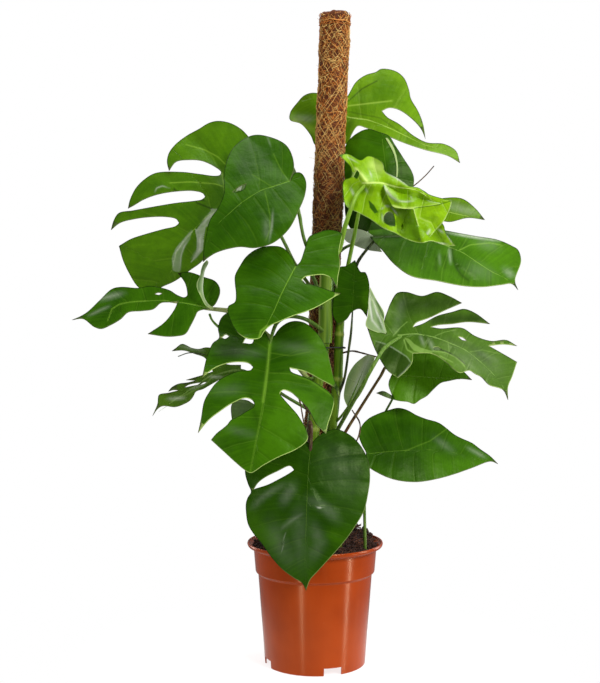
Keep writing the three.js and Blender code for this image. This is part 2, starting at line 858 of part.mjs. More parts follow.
// Flat triangles inside an outline with holes, split until no edge is longer than the limit.
function fillOutline(outline, holes, limit) {
  const ring = (points, clockwise) => {
    const list = points.map(([x, y]) => new THREE.Vector2(x, y));
    return THREE.ShapeUtils.isClockWise(list) === clockwise ? list : list.reverse();
  };
  const outer = ring(outline, false);
  const inner = holes.map((hole) => ring(hole, true));
  const points = [outer, ...inner].flat();
  const triangles = THREE.ShapeUtils.triangulateShape(outer, inner).map((t) => [...t]);
  swapLongDiagonals(points, triangles);
  for (let again = true; again; ) {
    again = splitLongestEdge(points, triangles, limit);
  }
  swapLongDiagonals(points, triangles);
  return { points, triangles };
}

const turnOf = (a, b, c) => (b.x - a.x) * (c.y - a.y) - (b.y - a.y) * (c.x - a.x);

function edgeOwners(triangles) {
  const owners = new Map();
  triangles.forEach((triangle, t) => {
    for (let i = 0; i < 3; i++) {
      const key = [triangle[i], triangle[(i + 1) % 3]].sort((a, b) => a - b).join();
      owners.set(key, [...(owners.get(key) ?? []), t]);
    }
  });
  return owners;
}

// Where two triangles make a convex four-sided figure, they meet on its shorter diagonal.
function swapLongDiagonals(points, triangles) {
  for (let round = 0; round < 12; round++) {
    const touched = new Set();
    for (const [key, pair] of edgeOwners(triangles)) {
      if (pair.length !== 2 || touched.has(pair[0]) || touched.has(pair[1])) continue;
      const [a, b] = key.split(',').map(Number);
      const c = triangles[pair[0]].find((v) => v !== a && v !== b);
      const d = triangles[pair[1]].find((v) => v !== a && v !== b);
      const [A, B, C, D] = [a, b, c, d].map((v) => points[v]);
      const shorter = C.distanceTo(D) < 0.98 * A.distanceTo(B);
      const convex = turnOf(C, D, A) * turnOf(C, D, B) < -1e-6 && turnOf(A, B, C) * turnOf(A, B, D) < -1e-6;
      const fat = Math.min(Math.abs(turnOf(C, D, A)), Math.abs(turnOf(C, D, B))) > 0.5;
      if (!shorter || !convex || !fat) continue;
      triangles[pair[0]] = turnOf(C, D, A) > 0 ? [c, d, a] : [d, c, a];
      triangles[pair[1]] = turnOf(C, D, B) > 0 ? [c, d, b] : [d, c, b];
      touched.add(pair[0]);
      touched.add(pair[1]);
    }
    if (!touched.size) return;
  }
}

function splitLongestEdge(points, triangles, limit) {
  let longest = limit;
  let found = null;
  for (const [key, pair] of edgeOwners(triangles)) {
    const [a, b] = key.split(',').map(Number);
    const length = points[a].distanceTo(points[b]);
    if (length > longest) {
      longest = length;
      found = { a, b, pair };
    }
  }
  if (!found) return false;
  const middle = points.push(points[found.a].clone().add(points[found.b]).multiplyScalar(0.5)) - 1;
  for (const t of found.pair) {
    const whole = triangles[t];
    triangles[t] = whole.map((v) => (v === found.a ? middle : v));
    triangles.push(whole.map((v) => (v === found.b ? middle : v)));
  }
  return true;
}

// A closed sheet of even thickness: the front and back faces have the same triangles.
function bladeSolid(leaf, outline, holes, setBack) {
  const { points, triangles } = fillOutline(outline, holes, BLADE.edge);
  const front = [];
  const back = [];
  for (const { x, y } of points) {
    const spot = bladePoint(leaf, x, y);
    const normal = bladeNormal(leaf, x, y);
    spot.addScaledVector(normal, -setBack);
    front.push(spot.clone().addScaledVector(normal, BLADE.thickness / 2));
    back.push(spot.clone().addScaledVector(normal, -BLADE.thickness / 2));
  }
  const positions = [...front, ...back].flatMap((p) => p.toArray());
  const index = [];
  const count = points.length;
  for (const [a, b, c] of triangles) {
    index.push(a, c, b, count + a, count + b, count + c);
  }
  const directed = new Set(triangles.flatMap(([a, b, c]) => [`${a},${b}`, `${b},${c}`, `${c},${a}`]));
  for (const key of directed) {
    const [a, b] = key.split(',').map(Number);
    if (directed.has(`${b},${a}`)) continue;
    index.push(a, b, count + b, a, count + b, count + a);
  }
  const geometry = new THREE.BufferGeometry();
  geometry.setAttribute('position', new THREE.Float32BufferAttribute(positions, 3));
  geometry.setIndex(index);
  return solidOf(geometry);
}

// A round stalk along points, its radius changing evenly from one listed value to the next.
function stalkSolid(points, radii, sides = 6, step = 16, extra = 0) {
  const curve = new THREE.CatmullRomCurve3(points, false, 'centripetal');
  const steps = Math.max(3, Math.round(curve.getLength() / step));
  const frames = curve.computeFrenetFrames(steps);
  const geometry = new THREE.CylinderGeometry(1, 1, 1, sides, steps);
  const position = geometry.attributes.position;
  for (let i = 0; i < position.count; i++) {
    const u = position.getY(i) + 0.5;
    const k = Math.round(u * steps);
    const place = u * (radii.length - 1);
    const low = Math.min(radii.length - 2, Math.floor(place));
    const radius = extra + THREE.MathUtils.lerp(radii[low], radii[low + 1], place - low);
    const spot = curve.getPointAt(u);
    spot.addScaledVector(frames.normals[k], radius * position.getX(i));
    spot.addScaledVector(frames.binormals[k], -radius * position.getZ(i));
    position.setXYZ(i, spot.x, spot.y, spot.z);
  }
  return solidOf(geometry);
}

// A stem has a low ring wherever a leaf once stood.
function stemSolid(stem, extra = 0) {
  const points = routePoints(stem.route);
  const body = stalkSolid(points, stem.radius, 7, 36, extra);
  const curve = new THREE.CatmullRomCurve3(points, false, 'centripetal');
  const up = new THREE.Vector3(0, 1, 0);
  return stem.rings.reduce((whole, u) => {
    const radius = Math.max(...stem.radius) + 0.9 + extra;
    const ring = new THREE.CylinderGeometry(radius - 0.6, radius, 4 + extra, 7);
    ring.applyQuaternion(new THREE.Quaternion().setFromUnitVectors(up, curve.getTangentAt(u)));
    ring.translate(...curve.getPointAt(u).toArray());
    return whole.add(solidOf(ring));
  }, body);
}

function poleAxis(height) {
  return new THREE.Vector3(POLE.slope * (height - POLE.centreHeight), 0, height);
}

// Radius and height pairs turned round the upright axis, then leant with the pole.
function poleTurning(profile, sides) {
  const geometry = new THREE.LatheGeometry(profile.map(([r, z]) => new THREE.Vector2(r, z)), sides);
  geometry.rotateX(Math.PI / 2);
  return geometry;
}

function leanWithPole(geometry) {
  const position = geometry.attributes.position;
  for (let i = 0; i < position.count; i++) {
    position.setX(i, position.getX(i) + poleAxis(position.getZ(i)).x);
  }
  return geometry;
}

// The coir sleeve: a fibre tube, closed and rounded at its top. The strands of its net run from crossing
// to crossing, so every second corner stands out, and each face is split along its strand.
function sleeveGeometry() {
  const around = 2 * POLE.netAround;
  const shoulder = POLE.top - 9;
  const rows = Math.round((shoulder - POLE.foot) / POLE.netRise);
  const rings = Array.from({ length: rows + 1 }, (_, k) => [
    POLE.radius,
    THREE.MathUtils.lerp(POLE.foot, shoulder, k / rows),
    POLE.net,
  ]);
  rings.push([POLE.radius - 3, POLE.top - 3, 0], [POLE.radius - 10, POLE.top, 0]);
  const positions = [];
  const index = [];
  rings.forEach(([radius, height, net], k) => {
    for (let i = 0; i < around; i++) {
      const reach = radius + ((i + k) % 2 ? 0 : net);
      const angle = (2 * Math.PI * i) / around;
      positions.push(reach * Math.cos(angle), reach * Math.sin(angle), height);
    }
  });
  const foot = positions.push(0, 0, POLE.foot) / 3 - 1;
  const tip = positions.push(0, 0, POLE.top - 1) / 3 - 1;
  const last = (rings.length - 1) * around;
  for (let i = 0; i < around; i++) {
    const next = (i + 1) % around;
    for (let k = 0; k < rings.length - 1; k++) {
      const [a, b] = [k * around + i, k * around + next];
      const [c, d] = [b + around, a + around];
      index.push(...((i + k) % 2 ? [a, b, d, b, c, d] : [a, b, c, a, c, d]));
    }
    index.push(foot, next, i, last + i, last + next, tip);
  }
  const geometry = new THREE.BufferGeometry();
  geometry.setAttribute('position', new THREE.Float32BufferAttribute(positions, 3));
  geometry.setIndex(index);
  return leanWithPole(geometry);
}

function coreSolid(extra = 0) {
  const radius = POLE.coreRadius + extra;
  const top = POLE.coreTop + extra;
  return solidOf(leanWithPole(poleTurning([[0, POLE.coreFoot], [radius, POLE.coreFoot], [radius, top],
    [0, top]], 12)));
}

// A thin wall turned round the pot's axis: the outside going up and the inside coming down.
function potSolid() {
  const { wall, floorHeight: floor, floorThickness: plate } = POT;
  const floorRadius = THREE.MathUtils.lerp(POT.baseRadius, POT.wallTopRadius, floor / POT.stepHeight);
  const lipFoot = POT.height - POT.lipHeight;
  const outline = [
    [0, 0], [POT.footRadius, 0], [POT.footRadius + 2, floor], [floorRadius - wall, floor],
    [POT.baseRadius - wall, 0], [POT.baseRadius, 0],
    [POT.wallTopRadius, POT.stepHeight - 2], [POT.bandFootRadius, POT.stepHeight],
    [POT.bandRadius, lipFoot], [POT.rimRadius - 1.5, lipFoot + 3], [POT.rimRadius, POT.height - 2.5],
    [POT.rimRadius - 1, POT.height], [POT.rimRadius - 3, POT.height], [POT.rimRadius - 3.5, POT.height - 3],
    [POT.bandRadius - wall, lipFoot + 1], [POT.bandFootRadius - wall, POT.stepHeight + 1],
    [POT.wallTopRadius - wall, POT.stepHeight - 3],
    [floorRadius - wall, floor + plate], [0, floor + plate],
  ];
  let pot = solidOf(poleTurning(outline, 40));
  for (let i = 0; i < POT.notches; i++) {
    const notch = new THREE.BoxGeometry(POT.notchWidth, 14, 2 * POT.notchHeight);
    notch.translate(0, -POT.baseRadius, 0);
    notch.rotateZ(THREE.MathUtils.degToRad(POT.notchTurn + (360 / POT.notches) * i));
    pot = pot.subtract(solidOf(notch));
  }
  for (let i = 0; i < POT.drains; i++) {
    const drain = new THREE.CylinderGeometry(POT.drainRadius, POT.drainRadius, 4 * plate, 8);
    drain.rotateX(Math.PI / 2);
    const angle = (2 * Math.PI * i) / POT.drains;
    drain.translate(POT.drainRing * Math.cos(angle), POT.drainRing * Math.sin(angle), floor + plate / 2);
    pot = pot.subtract(solidOf(drain));
  }
  return pot;
}

// The soil fills the pot to its crumbly top, just below the rim, with a heap at the back right.
function soilSolid() {
  const floor = POT.floorHeight + POT.floorThickness + GAP;
  const floorRadius = THREE.MathUtils.lerp(POT.baseRadius, POT.wallTopRadius, floor / POT.stepHeight);
  const inside = POT.wall + 1;
  const outline = [
    [0, floor], [floorRadius - inside, floor], [POT.wallTopRadius - inside - 0.3, POT.stepHeight - 4],
    [POT.bandFootRadius - inside, POT.stepHeight + 3], [POT.bandRadius - inside - 0.8, SOIL.top - 4.5],
    [SOIL.edgeRadius, SOIL.top - 1.4],
  ];
  for (let ring = SOIL.rings - 1; ring >= 0; ring--) {
    outline.push([((SOIL.edgeRadius - 4.5) * ring) / (SOIL.rings - 1), SOIL.top]);
  }
  const geometry = poleTurning(outline, SOIL.sides);
  const position = geometry.attributes.position;
  for (let i = 0; i < position.count; i++) {
    const [x, y, z] = [position.getX(i), position.getY(i), position.getZ(i)];
    if (z < SOIL.top - 1) continue;
    const crumb = Math.sin(0.23 * x + 1.3) * Math.cos(0.19 * y) + Math.sin(0.41 * x - 0.37 * y);
    const slope = Math.min(1, (SOIL.edgeRadius + 1.4 - Math.hypot(x, y)) / 8);
    const heap = SOIL.heap * slope * Math.exp(-((x - SOIL.heapX) ** 2 + (y - SOIL.heapY) ** 2) / 1100);
    position.setZ(i, z + (SOIL.lump * crumb) / 2 + heap);
  }
  return solidOf(geometry);
}

// The outline that a tie takes round the pole and the two front stems, widened by a margin.
function tieOutline(margin) {
  const level = poleAxis(TIE.height);
  const circles = [[level.x, level.y, POLE.radius + POLE.net]];
  for (const stem of STEMS.slice(0, 2)) {
    const curve = new THREE.CatmullRomCurve3(routePoints(stem.route), false, 'centripetal');
    const spot = curve.getPoints(200).reduce((best, p) =>
      Math.abs(p.z - TIE.height) < Math.abs(best.z - TIE.height) ? p : best);
    circles.push([spot.x, spot.y, Math.max(...stem.radius) + 1]);
  }
  const spots = circles.flatMap(([x, y, radius]) =>
    Array.from({ length: 24 }, (_, i) => {
      const angle = (2 * Math.PI * i) / 24;
      return new THREE.Vector2(x + (radius + margin) * Math.cos(angle), y + (radius + margin) * Math.sin(angle));
    }));
  spots.sort((a, b) => a.x - b.x || a.y - b.y);
  const half = (list) => list.reduce((chain, p) => {
    while (chain.length > 1 && turnOf(chain.at(-2), chain.at(-1), p) <= 0) chain.pop();
    return [...chain, p];
  }, []);
  return [...half(spots).slice(0, -1), ...half(spots.reverse()).slice(0, -1)];
}

function tieSolid() {
  const band = new THREE.Shape(tieOutline(2 * GAP + TIE.thickness));
  band.holes.push(new THREE.Path(tieOutline(2 * GAP)));
  const geometry = new THREE.ExtrudeGeometry(band, { depth: TIE.width, bevelEnabled: false });
  geometry.translate(0, 0, TIE.height - TIE.width / 2);
  return solidOf(geometry);
}

// The stalk runs on behind the blade as its rib, thinner and thinner.
function leafSolid(leaf) {
  let whole = bladeSolid(leaf, leaf.outline, leaf.holes ?? [], 0);
  for (const patch of leaf.patches ?? []) {
    whole = whole.add(bladeSolid({ ...leaf, ...patch }, patch.outline, [], BLADE.thickness * 0.6));
  }
  const rib = [0.03, 0.2, 0.4, BLADE.ribEnd].map((along) => {
    const px = THREE.MathUtils.lerp(leaf.base[0], leaf.tip[0], along);
    const py = THREE.MathUtils.lerp(leaf.base[1], leaf.tip[1], along);
    const sunk = leaf.stalk.radius * (1 - along) * 0.55;
    return bladePoint(leaf, px, py).addScaledVector(bladeNormal(leaf, px, py), -sunk);
  });
  const { radius, route } = leaf.stalk;
  const path = [...routePoints(route), ...rib];
  whole = whole.add(stalkSolid(path, [radius * 1.15, radius, radius * 0.85, radius * 0.35], 5, 26));
  for (const twig of leaf.twigs ?? []) {
    whole = whole.add(stalkSolid(routePoints(twig.route), twig.radius, 5, 16));
  }
  return whole;
}

// Solids
addNode('nursery_pot', potSolid(), 'pot');
addNode('pole_core', coreSolid(), 'core');
addNode('coir_sleeve', solidOf(sleeveGeometry()).subtract(coreSolid(GAP)), 'coir');

const bindingRing = new THREE.TorusGeometry(POLE.radius + POLE.net + BINDING.radius + GAP, BINDING.radius, 5, 24);
bindingRing.translate(0, 0, BINDING.height);
addNode('binding_ring', solidOf(leanWithPole(bindingRing)), 'binding');

const carriers = STEMS.map((stem) => stemSolid(stem, GAP));
STEMS.forEach((stem) => addNode(stem.name, stemSolid(stem), 'stem'));
addNode('tie', tieSolid(), 'tie');

// Each leaf and root starts in its stem's middle, and the stem's own room is then cut away from it.
const clearOf = (solid, rooms) => {
  const cut = rooms.reduce((rest, room) => rest.subtract(room), solid);
  return cut.decompose().reduce((best, piece) => (piece.volume() > best.volume() ? piece : best));
};
LEAVES.forEach((leaf) => addNode(leaf.name, clearOf(leafSolid(leaf), carriers), leaf.finish));
ROOTS.forEach((root) => {
  const solid = stalkSolid(routePoints(root.route), root.radius, 5, 14);
  addNode(root.name, clearOf(solid, carriers), 'root');
});

// The soil has a plain hole for all that stands in it.
const soilStalks = LEAVES.filter((leaf) => onSight(...leaf.stalk.route[0]).z < SOIL.top);
let soil = soilSolid();
for (const stem of STEMS) soil = soil.subtract(stemSolid(stem, GAP));
for (const leaf of soilStalks) {
  const room = leaf.stalk.radius * 1.15 + GAP;
  soil = soil.subtract(stalkSolid(routePoints(leaf.stalk.route), [room, room], 8));
}
soil = soil.subtract(solidOf(sleeveGeometry()));
soil = soil.subtract(coreSolid(GAP));
addNode('soil', soil, 'soil');

export default plant;
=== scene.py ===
"""A potted swiss cheese plant on a coir pole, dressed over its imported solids. Metres, +Z up, front at -Y."""
import math

import bmesh
import bpy
import numpy as np
from mathutils import Matrix, Vector, geometry, noise


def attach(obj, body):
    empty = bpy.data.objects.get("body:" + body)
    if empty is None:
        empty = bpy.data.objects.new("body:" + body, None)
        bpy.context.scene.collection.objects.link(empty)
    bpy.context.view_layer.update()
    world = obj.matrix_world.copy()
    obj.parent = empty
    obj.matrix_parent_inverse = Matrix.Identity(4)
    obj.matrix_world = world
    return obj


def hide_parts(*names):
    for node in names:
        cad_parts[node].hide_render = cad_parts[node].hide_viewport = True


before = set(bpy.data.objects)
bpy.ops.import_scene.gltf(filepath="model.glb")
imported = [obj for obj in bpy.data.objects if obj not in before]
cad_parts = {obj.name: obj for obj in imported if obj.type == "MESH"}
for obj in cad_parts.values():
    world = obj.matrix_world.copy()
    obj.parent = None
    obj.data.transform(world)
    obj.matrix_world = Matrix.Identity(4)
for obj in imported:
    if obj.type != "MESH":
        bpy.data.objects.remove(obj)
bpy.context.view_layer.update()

MM = 0.001
POT = dict(height=187.5, rim=105, lip=9, band=95, step=142, band_foot=92, wall_top=88, base=77.5, wall=2,
           floor=12, plate=2.5, foot=34, notch_width=28, notch_depth=14, notch_height=11.5, notch_turn=19.5,
           notches=4, drain=5, drain_ring=55, drains=8, sides=160)
SOIL = dict(top=183, edge=95.6, lump=2, heap=20, heap_x=70, heap_y=50, heap_spread=1100, crumbs=3400,
            fibres=150)
POLE = dict(slope=0.0379, centre_height=187, foot=150, top=1000, radius=22.3, strands=16, rise=197)
SLEEVE_TOP = POLE["top"] - 5
BINDING = dict(height=982, rounds=3, gap=1.6, radius=0.5)
TIE = dict(height=488, radius=0.6)
STEM_SIDES = 24
BLADE_THICKNESS = 0.8
# A blade is cut up in picture pixels: points on its margins, on its rib, beside its narrow marks and in a
# grid between them, each kind so far off the margins and the kinds before it.
MARGIN_STEP, RIB_STEP, GRID_STEP = 1.9, 2.4, 3.0
RIB_GAP, MARK_GAP, GRID_GAP = 1.2, 0.7, 1.4
RIB_BREAK = 3.2  # a wider step between points of a rib lies over a slot in the blade
NARROW_MARK = 2.6
SHARP_CORNER = 75  # degrees of turn past which a margin keeps its corner
# The rib behind a blade: the shares of its length between which it runs out from the stalk's thickness to
# nothing. The stalk's knuckle: how many mm before the blade, how long and how much thicker.
RIB_START, RIB_END = 0.03, 0.9
KNUCKLE = dict(before=12, reach=9, swell=0.16)

# The eye that sees the front view: leaf outlines and stalk routes are traced there, in picture pixels, and
# each traced point is put at its own depth (y, in mm) on the line of sight through it.
EYE = np.array((-23.3, -1800.0, 550.0))
EYE_TILT = math.radians(1.7)
FOCAL_PX = 1168
PICTURE = (600, 683)
MM_PER_PX = -EYE[1] / FOCAL_PX
SOIL_PX = 545  # a route that starts below this row of the picture starts in the soil
SENSOR_MM = 36

# One entry for each leaf, its lines in picture pixels. finish is its slot in the part, and look the tone that
# it is painted in, where that is another. lean and turn say how far the blade comes forward for each mm down
# and to the right. arch bends the rib, fold and curl bring both margins forward, wave is the height in mm of
# the swell between side veins, and swell the share of it that shows. rib is the main rib, where it isn't
# straight from base to tip. crumple is the height and reach of uneven swells. creases and puckers are lines
# along which the blade lifts: start, end, height and width. rim is how strongly the margins that face down and
# right are painted pale, a painted highlight; the other margins are painted dark, a painted shade. shaded is
# how dark the whole blade is. patches are folded parts, with what differs from the rest of the leaf. stalk and
# twigs have a radius in mm, and the x, y and depth of their points. stalk_taper is the share of its radius
# that a stalk still has by the blade. marks are painted on: kind, width in pixels (0 for the area inside),
# strength, and the x, y of the points. shade darkens, fresh is a livelier green that in places is painted
# light where the blade is lit, pale is a vein, a pale margin and in a few wide marks a painted sheen, and the
# whitish kind is painted glare: highlights and reflections laid on as colour.
LEAVES = [
    dict(name="leaf_upper_left_split", finish="bright", base=(243, 183), tip=(150, 294), depth=30, lean=0.5,
         turn=0.4, arch=18, fold=-6, curl=-8, wave=3, veins=5,
         rib=[(243, 183), (221, 209.5), (207, 216), (192, 232), (177, 252), (171, 272), (150, 294)],
         outline=[(243, 184), (252, 175), (257, 160), (254, 145), (248, 136), (241, 129), (230, 123),
           (218, 121), (209, 123), (199, 129), (188, 135), (176, 144), (169, 153), (167, 162), (169, 171),
           (176, 162), (188, 160), (202, 161), (215, 167), (221, 172), (220, 175), (215, 176), (199, 174),
           (181, 172), (156, 173), (145, 179), (136, 188), (130, 200), (128, 208.5), (133, 206), (144, 199.5),
           (158, 194.5), (176, 191.5), (194, 191), (203, 193.5), (205, 197), (202, 199.5), (194, 201),
           (176, 203), (152, 207), (133, 210.5), (119, 213), (114, 220), (111, 230), (120, 223), (135, 219),
           (152, 217), (166, 217), (176, 219), (179, 223), (176, 226), (164, 229), (146, 234), (131, 239),
           (119, 246), (123, 260), (129, 273), (138, 287), (150, 294), (162, 287), (175, 281), (189, 271),
           (203, 260), (207.5, 250), (210, 234), (213, 222), (224, 210), (238, 200)],
         stalk=(2.6, [(328, 310, 36), (313, 290, 30), (295, 264, 30), (282, 238, 32), (262, 205, 34)]),
         marks=[("fresh", 26, 0.4, 140, 262, 190, 250), ("fresh", 16, 0.4, 180, 150, 218, 140),
           ("bloom", 0, 0.45, 212, 209, 221, 209, 214, 214, 211, 219, 207, 227, 203, 229, 197, 229, 203, 222,
             207, 216),
           ("bloom", 1.8, 0.95, 216, 211, 208, 218, 202, 226),
           ("shade", 0.6, 0.4, 219, 210, 212, 216, 208, 226),
           ("bloom", 0, 0.58, 195, 230, 199, 229, 206, 226, 204, 238, 203, 250, 199, 255, 192, 262, 190, 263,
             195, 256, 197, 248, 197, 238),
           ("bloom", 1.8, 1, 202, 230, 200, 240, 200, 249, 194, 258),
           ("shade", 0.6, 0.5, 198, 231, 199, 243, 197, 252),
           ("bloom", 0, 0.3, 193, 230, 185, 238, 180, 243, 175, 250, 172, 258, 173, 270, 176, 272, 180, 272,
             180, 262, 181, 254, 184, 246, 190, 238),
           ("bloom", 0.9, 0.9, 192, 231, 183, 242, 176, 252, 173.5, 262, 174, 270),
           ("bloom", 0.8, 0.7, 190, 238, 184, 247, 181, 256, 180, 271),
           ("bloom", 0, 1, 235, 186, 246, 184.5, 245, 189, 237, 191),
           ("pale", 0.6, 0.45, 187, 145, 205, 150, 218, 157, 225, 164),
           ("pale", 0.6, 0.4, 222, 173, 225, 195),
           ("pale", 0.6, 0.55, 170, 183, 190, 182, 215, 184, 228, 188),
           ("bloom", 0.7, 0.55, 155, 192, 157, 188, 163, 186, 168, 188),
           ("shade", 0.8, 0.8, 175, 190, 182, 195, 190, 199, 203, 200),
           ("shade", 0.8, 0.7, 197, 203, 212, 209)]),
    dict(name="leaf_upper_heart", base=(290, 181), tip=(203, 262), depth=-50, lean=0.6, turn=0.2, arch=16,
         fold=4, curl=-16, rib_width=0.75, shaded=0.12,
         rib=[(290, 181), (275, 186), (262, 190), (250, 197), (240, 204), (230, 213), (220, 222), (208, 240),
           (203, 262)],
         outline=[(290, 181), (294, 168), (292, 155), (286, 145), (273, 138), (255, 135), (241, 141),
           (230, 153), (224, 174), (224, 193), (218, 208), (210, 220), (206, 236), (203.5, 252), (203, 262),
           (209, 257), (218, 252), (239, 247), (255, 248), (273, 243), (289, 229), (299, 210), (305, 195),
           (306, 181), (301, 173), (295, 173)],
         holes=[[(233, 192), (239, 187), (246, 184), (244, 189), (238, 192)]],
         puckers=[((262, 242), (290, 220), 2.2, 7)],
         stalk=(2.6, [(325, 278, -34), (316, 262, -44), (306, 245, -47), (298, 209, -46)]),
         marks=[("pale", 0.6, 0.3, 288, 180, 280, 168, 274, 155), ("pale", 0.6, 0.25, 272, 187, 253, 175),
           ("pale", 0.6, 0.3, 265, 192, 268, 205, 270, 215, 270, 230, 266, 240),
           ("bloom", 1.1, 0.3, 273, 210, 272, 226, 269, 242), ("bloom", 3.2, 0.14, 266, 218, 267, 240),
           ("bloom", 0.9, 0.2, 266, 133, 271, 147), ("shade", 18, 0.16, 245, 150, 240, 190)]),
    dict(name="leaf_top_behind_pole", finish="light", base=(338, 113), tip=(460, 163), depth=62, lean=0.35,
         turn=-0.1, arch=12, curl=-10, wave=2, veins=5, rim=0.6,
         rib=[(338, 113), (348, 117), (368, 120), (387, 127), (405, 135.5), (425, 145), (445, 150.5),
           (460, 163)],
         outline=[(338, 112), (341, 103), (347, 97), (356, 82), (366, 75), (376, 72), (381, 69), (395, 71),
           (404, 78), (409, 90), (411, 99), (418, 111), (423, 124), (425.5, 139), (421, 129), (412, 119),
           (399, 110), (389, 108), (382, 111), (387, 117), (399, 124), (414, 136), (427, 142.5), (444, 144),
           (456, 151), (460, 163), (448, 156), (425, 150), (404, 143), (387, 136), (366, 128), (358, 126),
           (352, 134), (348, 143), (338, 145), (328, 150), (315, 145), (311, 136), (301, 124), (290, 120),
           (290, 113), (297, 103), (305, 95), (316, 93), (329, 100)],
         stalk=(2.6, [(331, 205, 36), (334, 165, 50), (337, 135, 66)]),
         marks=[("bloom", 3.4, 0.3, 290, 118, 314, 119), ("pale", 4, 0.3, 295, 121, 314, 131),
           ("pale", 0.7, 0.5, 348, 106, 391, 101), ("shade", 0.7, 0.6, 348.6, 101, 362, 89, 377, 81),
           ("shade", 0.7, 0.35, 350, 112, 380, 118, 400, 132), ("shade", 6, 0.45, 350, 124, 346, 140)]),
    dict(name="leaf_behind_new", stalk_look="lime", base=(383, 137), tip=(392, 207), depth=6, lean=0.2,
         arch=6, fold=-6, curl=-10, wave=1.5, veins=5, rib_width=0.4, shaded=0.15,
         rib=[(382, 137), (384, 153), (386, 168), (392, 207)],
         outline=[(389, 136), (379, 132), (368, 129), (356, 134), (346, 145), (344.5, 165), (344.5, 195),
           (346, 218), (351, 229), (359, 233), (367, 232), (372, 222), (378, 212), (392, 207), (404, 200),
           (412, 190), (414, 180), (412, 172), (404, 159), (395, 145)],
         patches=[dict(depth=4.8, under=True,
                       outline=[(385.5, 138), (387, 138), (393.8, 148), (397.2, 160), (398, 170),
                         (397.4, 177), (396.2, 177), (396.3, 165), (393.8, 154)])],
         twigs=[dict(look="root", radius=(1, 0.8),
                     route=[(400, 193, 0), (412, 187, -2), (425, 176, -4), (434, 166, -5)])],
         stalk=(2.8, [(343, 290, -22), (350, 256, -34), (355, 232, -38), (359, 212, -28), (368, 178, 0)]),
         marks=[("shade", 2, 0.5, 390, 143, 398, 152, 401, 165, 401, 177),
           ("shade", 7, 0.35, 407, 163, 407, 185), ("fresh", 12, 1, 360, 144, 378, 156),
           ("shade", 0, 0.7, 344, 204, 375, 204, 375, 234, 344, 234)]),
    dict(name="leaf_new_lime", finish="new", stalk_look="lime", base=(363, 187), tip=(456, 246), depth=-60,
         lean=0.45, turn=0.2, arch=4, fold=6, curl=4, wave=3.5, veins=5, swell=1, crumple=(2.6, 8), rim=0.9,
         stalk_taper=0.62,
         rib=[(363, 183), (382, 183), (397, 187), (412, 189), (422, 193), (432, 200), (450, 201)],
         outline=[(339, 155), (348, 154), (361, 160), (368, 156), (382, 162), (385, 171), (399, 179),
           (409, 186), (419, 188), (428, 194), (445, 199), (452, 200), (451, 205), (447, 214), (441, 220),
           (444, 226), (446, 233), (456, 246), (444, 245), (431, 241), (422, 243), (415, 242), (404, 238),
           (395, 233), (383, 228), (370, 219), (359, 213), (346, 206), (343, 193), (344, 180), (351, 177),
           (351, 168), (343, 159)],
         holes=[[(384.5, 222), (384, 216), (388, 212), (392, 213), (394.5, 219), (395, 226), (389, 225)],
           [(353.5, 176.5), (357, 170), (359.5, 173), (357, 178.5)]],
         creases=[((345, 158), (372, 186), 9, 7), ((366, 183), (404, 186), 8, 6),
           ((404, 186), (450, 202), 9, 7), ((383, 183), (400, 222), -8, 6), ((412, 208), (424, 241), 10, 7),
           ((346, 186), (352, 208), -6, 6)],
         puckers=[((384, 187), (401, 203), 4, 3), ((423, 194), (440, 204), 4, 3),
           ((424, 240), (428, 226), 4, 3.5), ((381, 205), (396, 212), 3, 3), ((345, 192), (356, 184), 3, 4)],
         patches=[dict(depth=-70,
                       creases=[((383, 183), (450, 201), -10, 6)],
                       outline=[(383, 183), (397, 186.5), (409, 188), (419, 188.5), (427, 193), (434, 200),
                         (445, 200.5), (451, 200.5), (447, 205), (436, 205.5), (425, 207.5), (413, 209),
                         (401, 208.5), (393, 206.5), (388, 199), (385, 191)],
                       marks=[("bloom", 1.3, 1, 384, 185, 387, 191, 392, 197, 398, 201),
                         ("bloom", 0.8, 0.8, 398, 201, 406, 202, 414, 201),
                         ("bloom", 1.6, 1, 422, 193, 428, 198, 433, 202),
                         ("bloom", 0.8, 0.7, 433, 202, 440, 203, 446, 202),
                         ("pale", 1, 0.8, 384, 184, 397, 187.5, 409, 188.5, 419, 189),
                         ("shade", 4, 0.3, 410, 193, 416, 197),
                         ("pale", 1, 0.7, 393, 206, 405, 208.5, 425, 207.5, 436, 205),
                         ("bloom", 0.8, 0.5, 410, 196, 413, 200)]),
           dict(depth=-70.6,
                creases=[((418, 238), (429, 243), -12, 7)],
                outline=[(413, 208), (425, 206.5), (440, 204), (452, 200.5), (449, 211), (443, 222),
                  (434, 232), (428, 239), (424, 242), (420, 232), (416, 219)],
                marks=[("pale", 0.8, 0.8, 413, 208, 416, 219, 420, 232, 422, 241),
                  ("bloom", 1.2, 0.95, 424, 238, 428, 233, 430, 229)])],
         stalk=(4.2, [(327, 262, -33), (334, 257, -43), (339.5, 248, -47), (343, 234, -58), (347, 220, -72),
           (353, 204, -79), (359, 191, -70)]),
         marks=[("bloom", 0.9, 0.85, 386, 173, 396, 178, 408, 186),
           ("pale", 0.8, 0.7, 363, 183, 375, 182.5, 385, 184, 395, 187),
           ("pale", 1.4, 0.9, 356, 169, 362, 175, 368, 183), ("bloom", 1.2, 0.8, 351, 188, 354, 196),
           ("bloom", 1.1, 0.7, 365, 187, 368, 193), ("pale", 5, 0.6, 373, 165, 380, 168),
           ("bloom", 0.8, 0.6, 369, 170, 372, 178), ("bloom", 0.7, 0.5, 347, 157, 358, 163),
           ("bloom", 0.9, 0.95, 381, 209, 384, 208), ("bloom", 1, 0.95, 385, 206, 390, 206.5),
           ("bloom", 0.9, 0.9, 391, 207, 397, 214), ("bloom", 0.8, 0.8, 382, 214, 383, 222),
           ("shade", 0, 0.6, 392, 209, 413, 209, 418, 225, 421, 241, 408, 240, 397, 232, 396, 222, 396, 215),
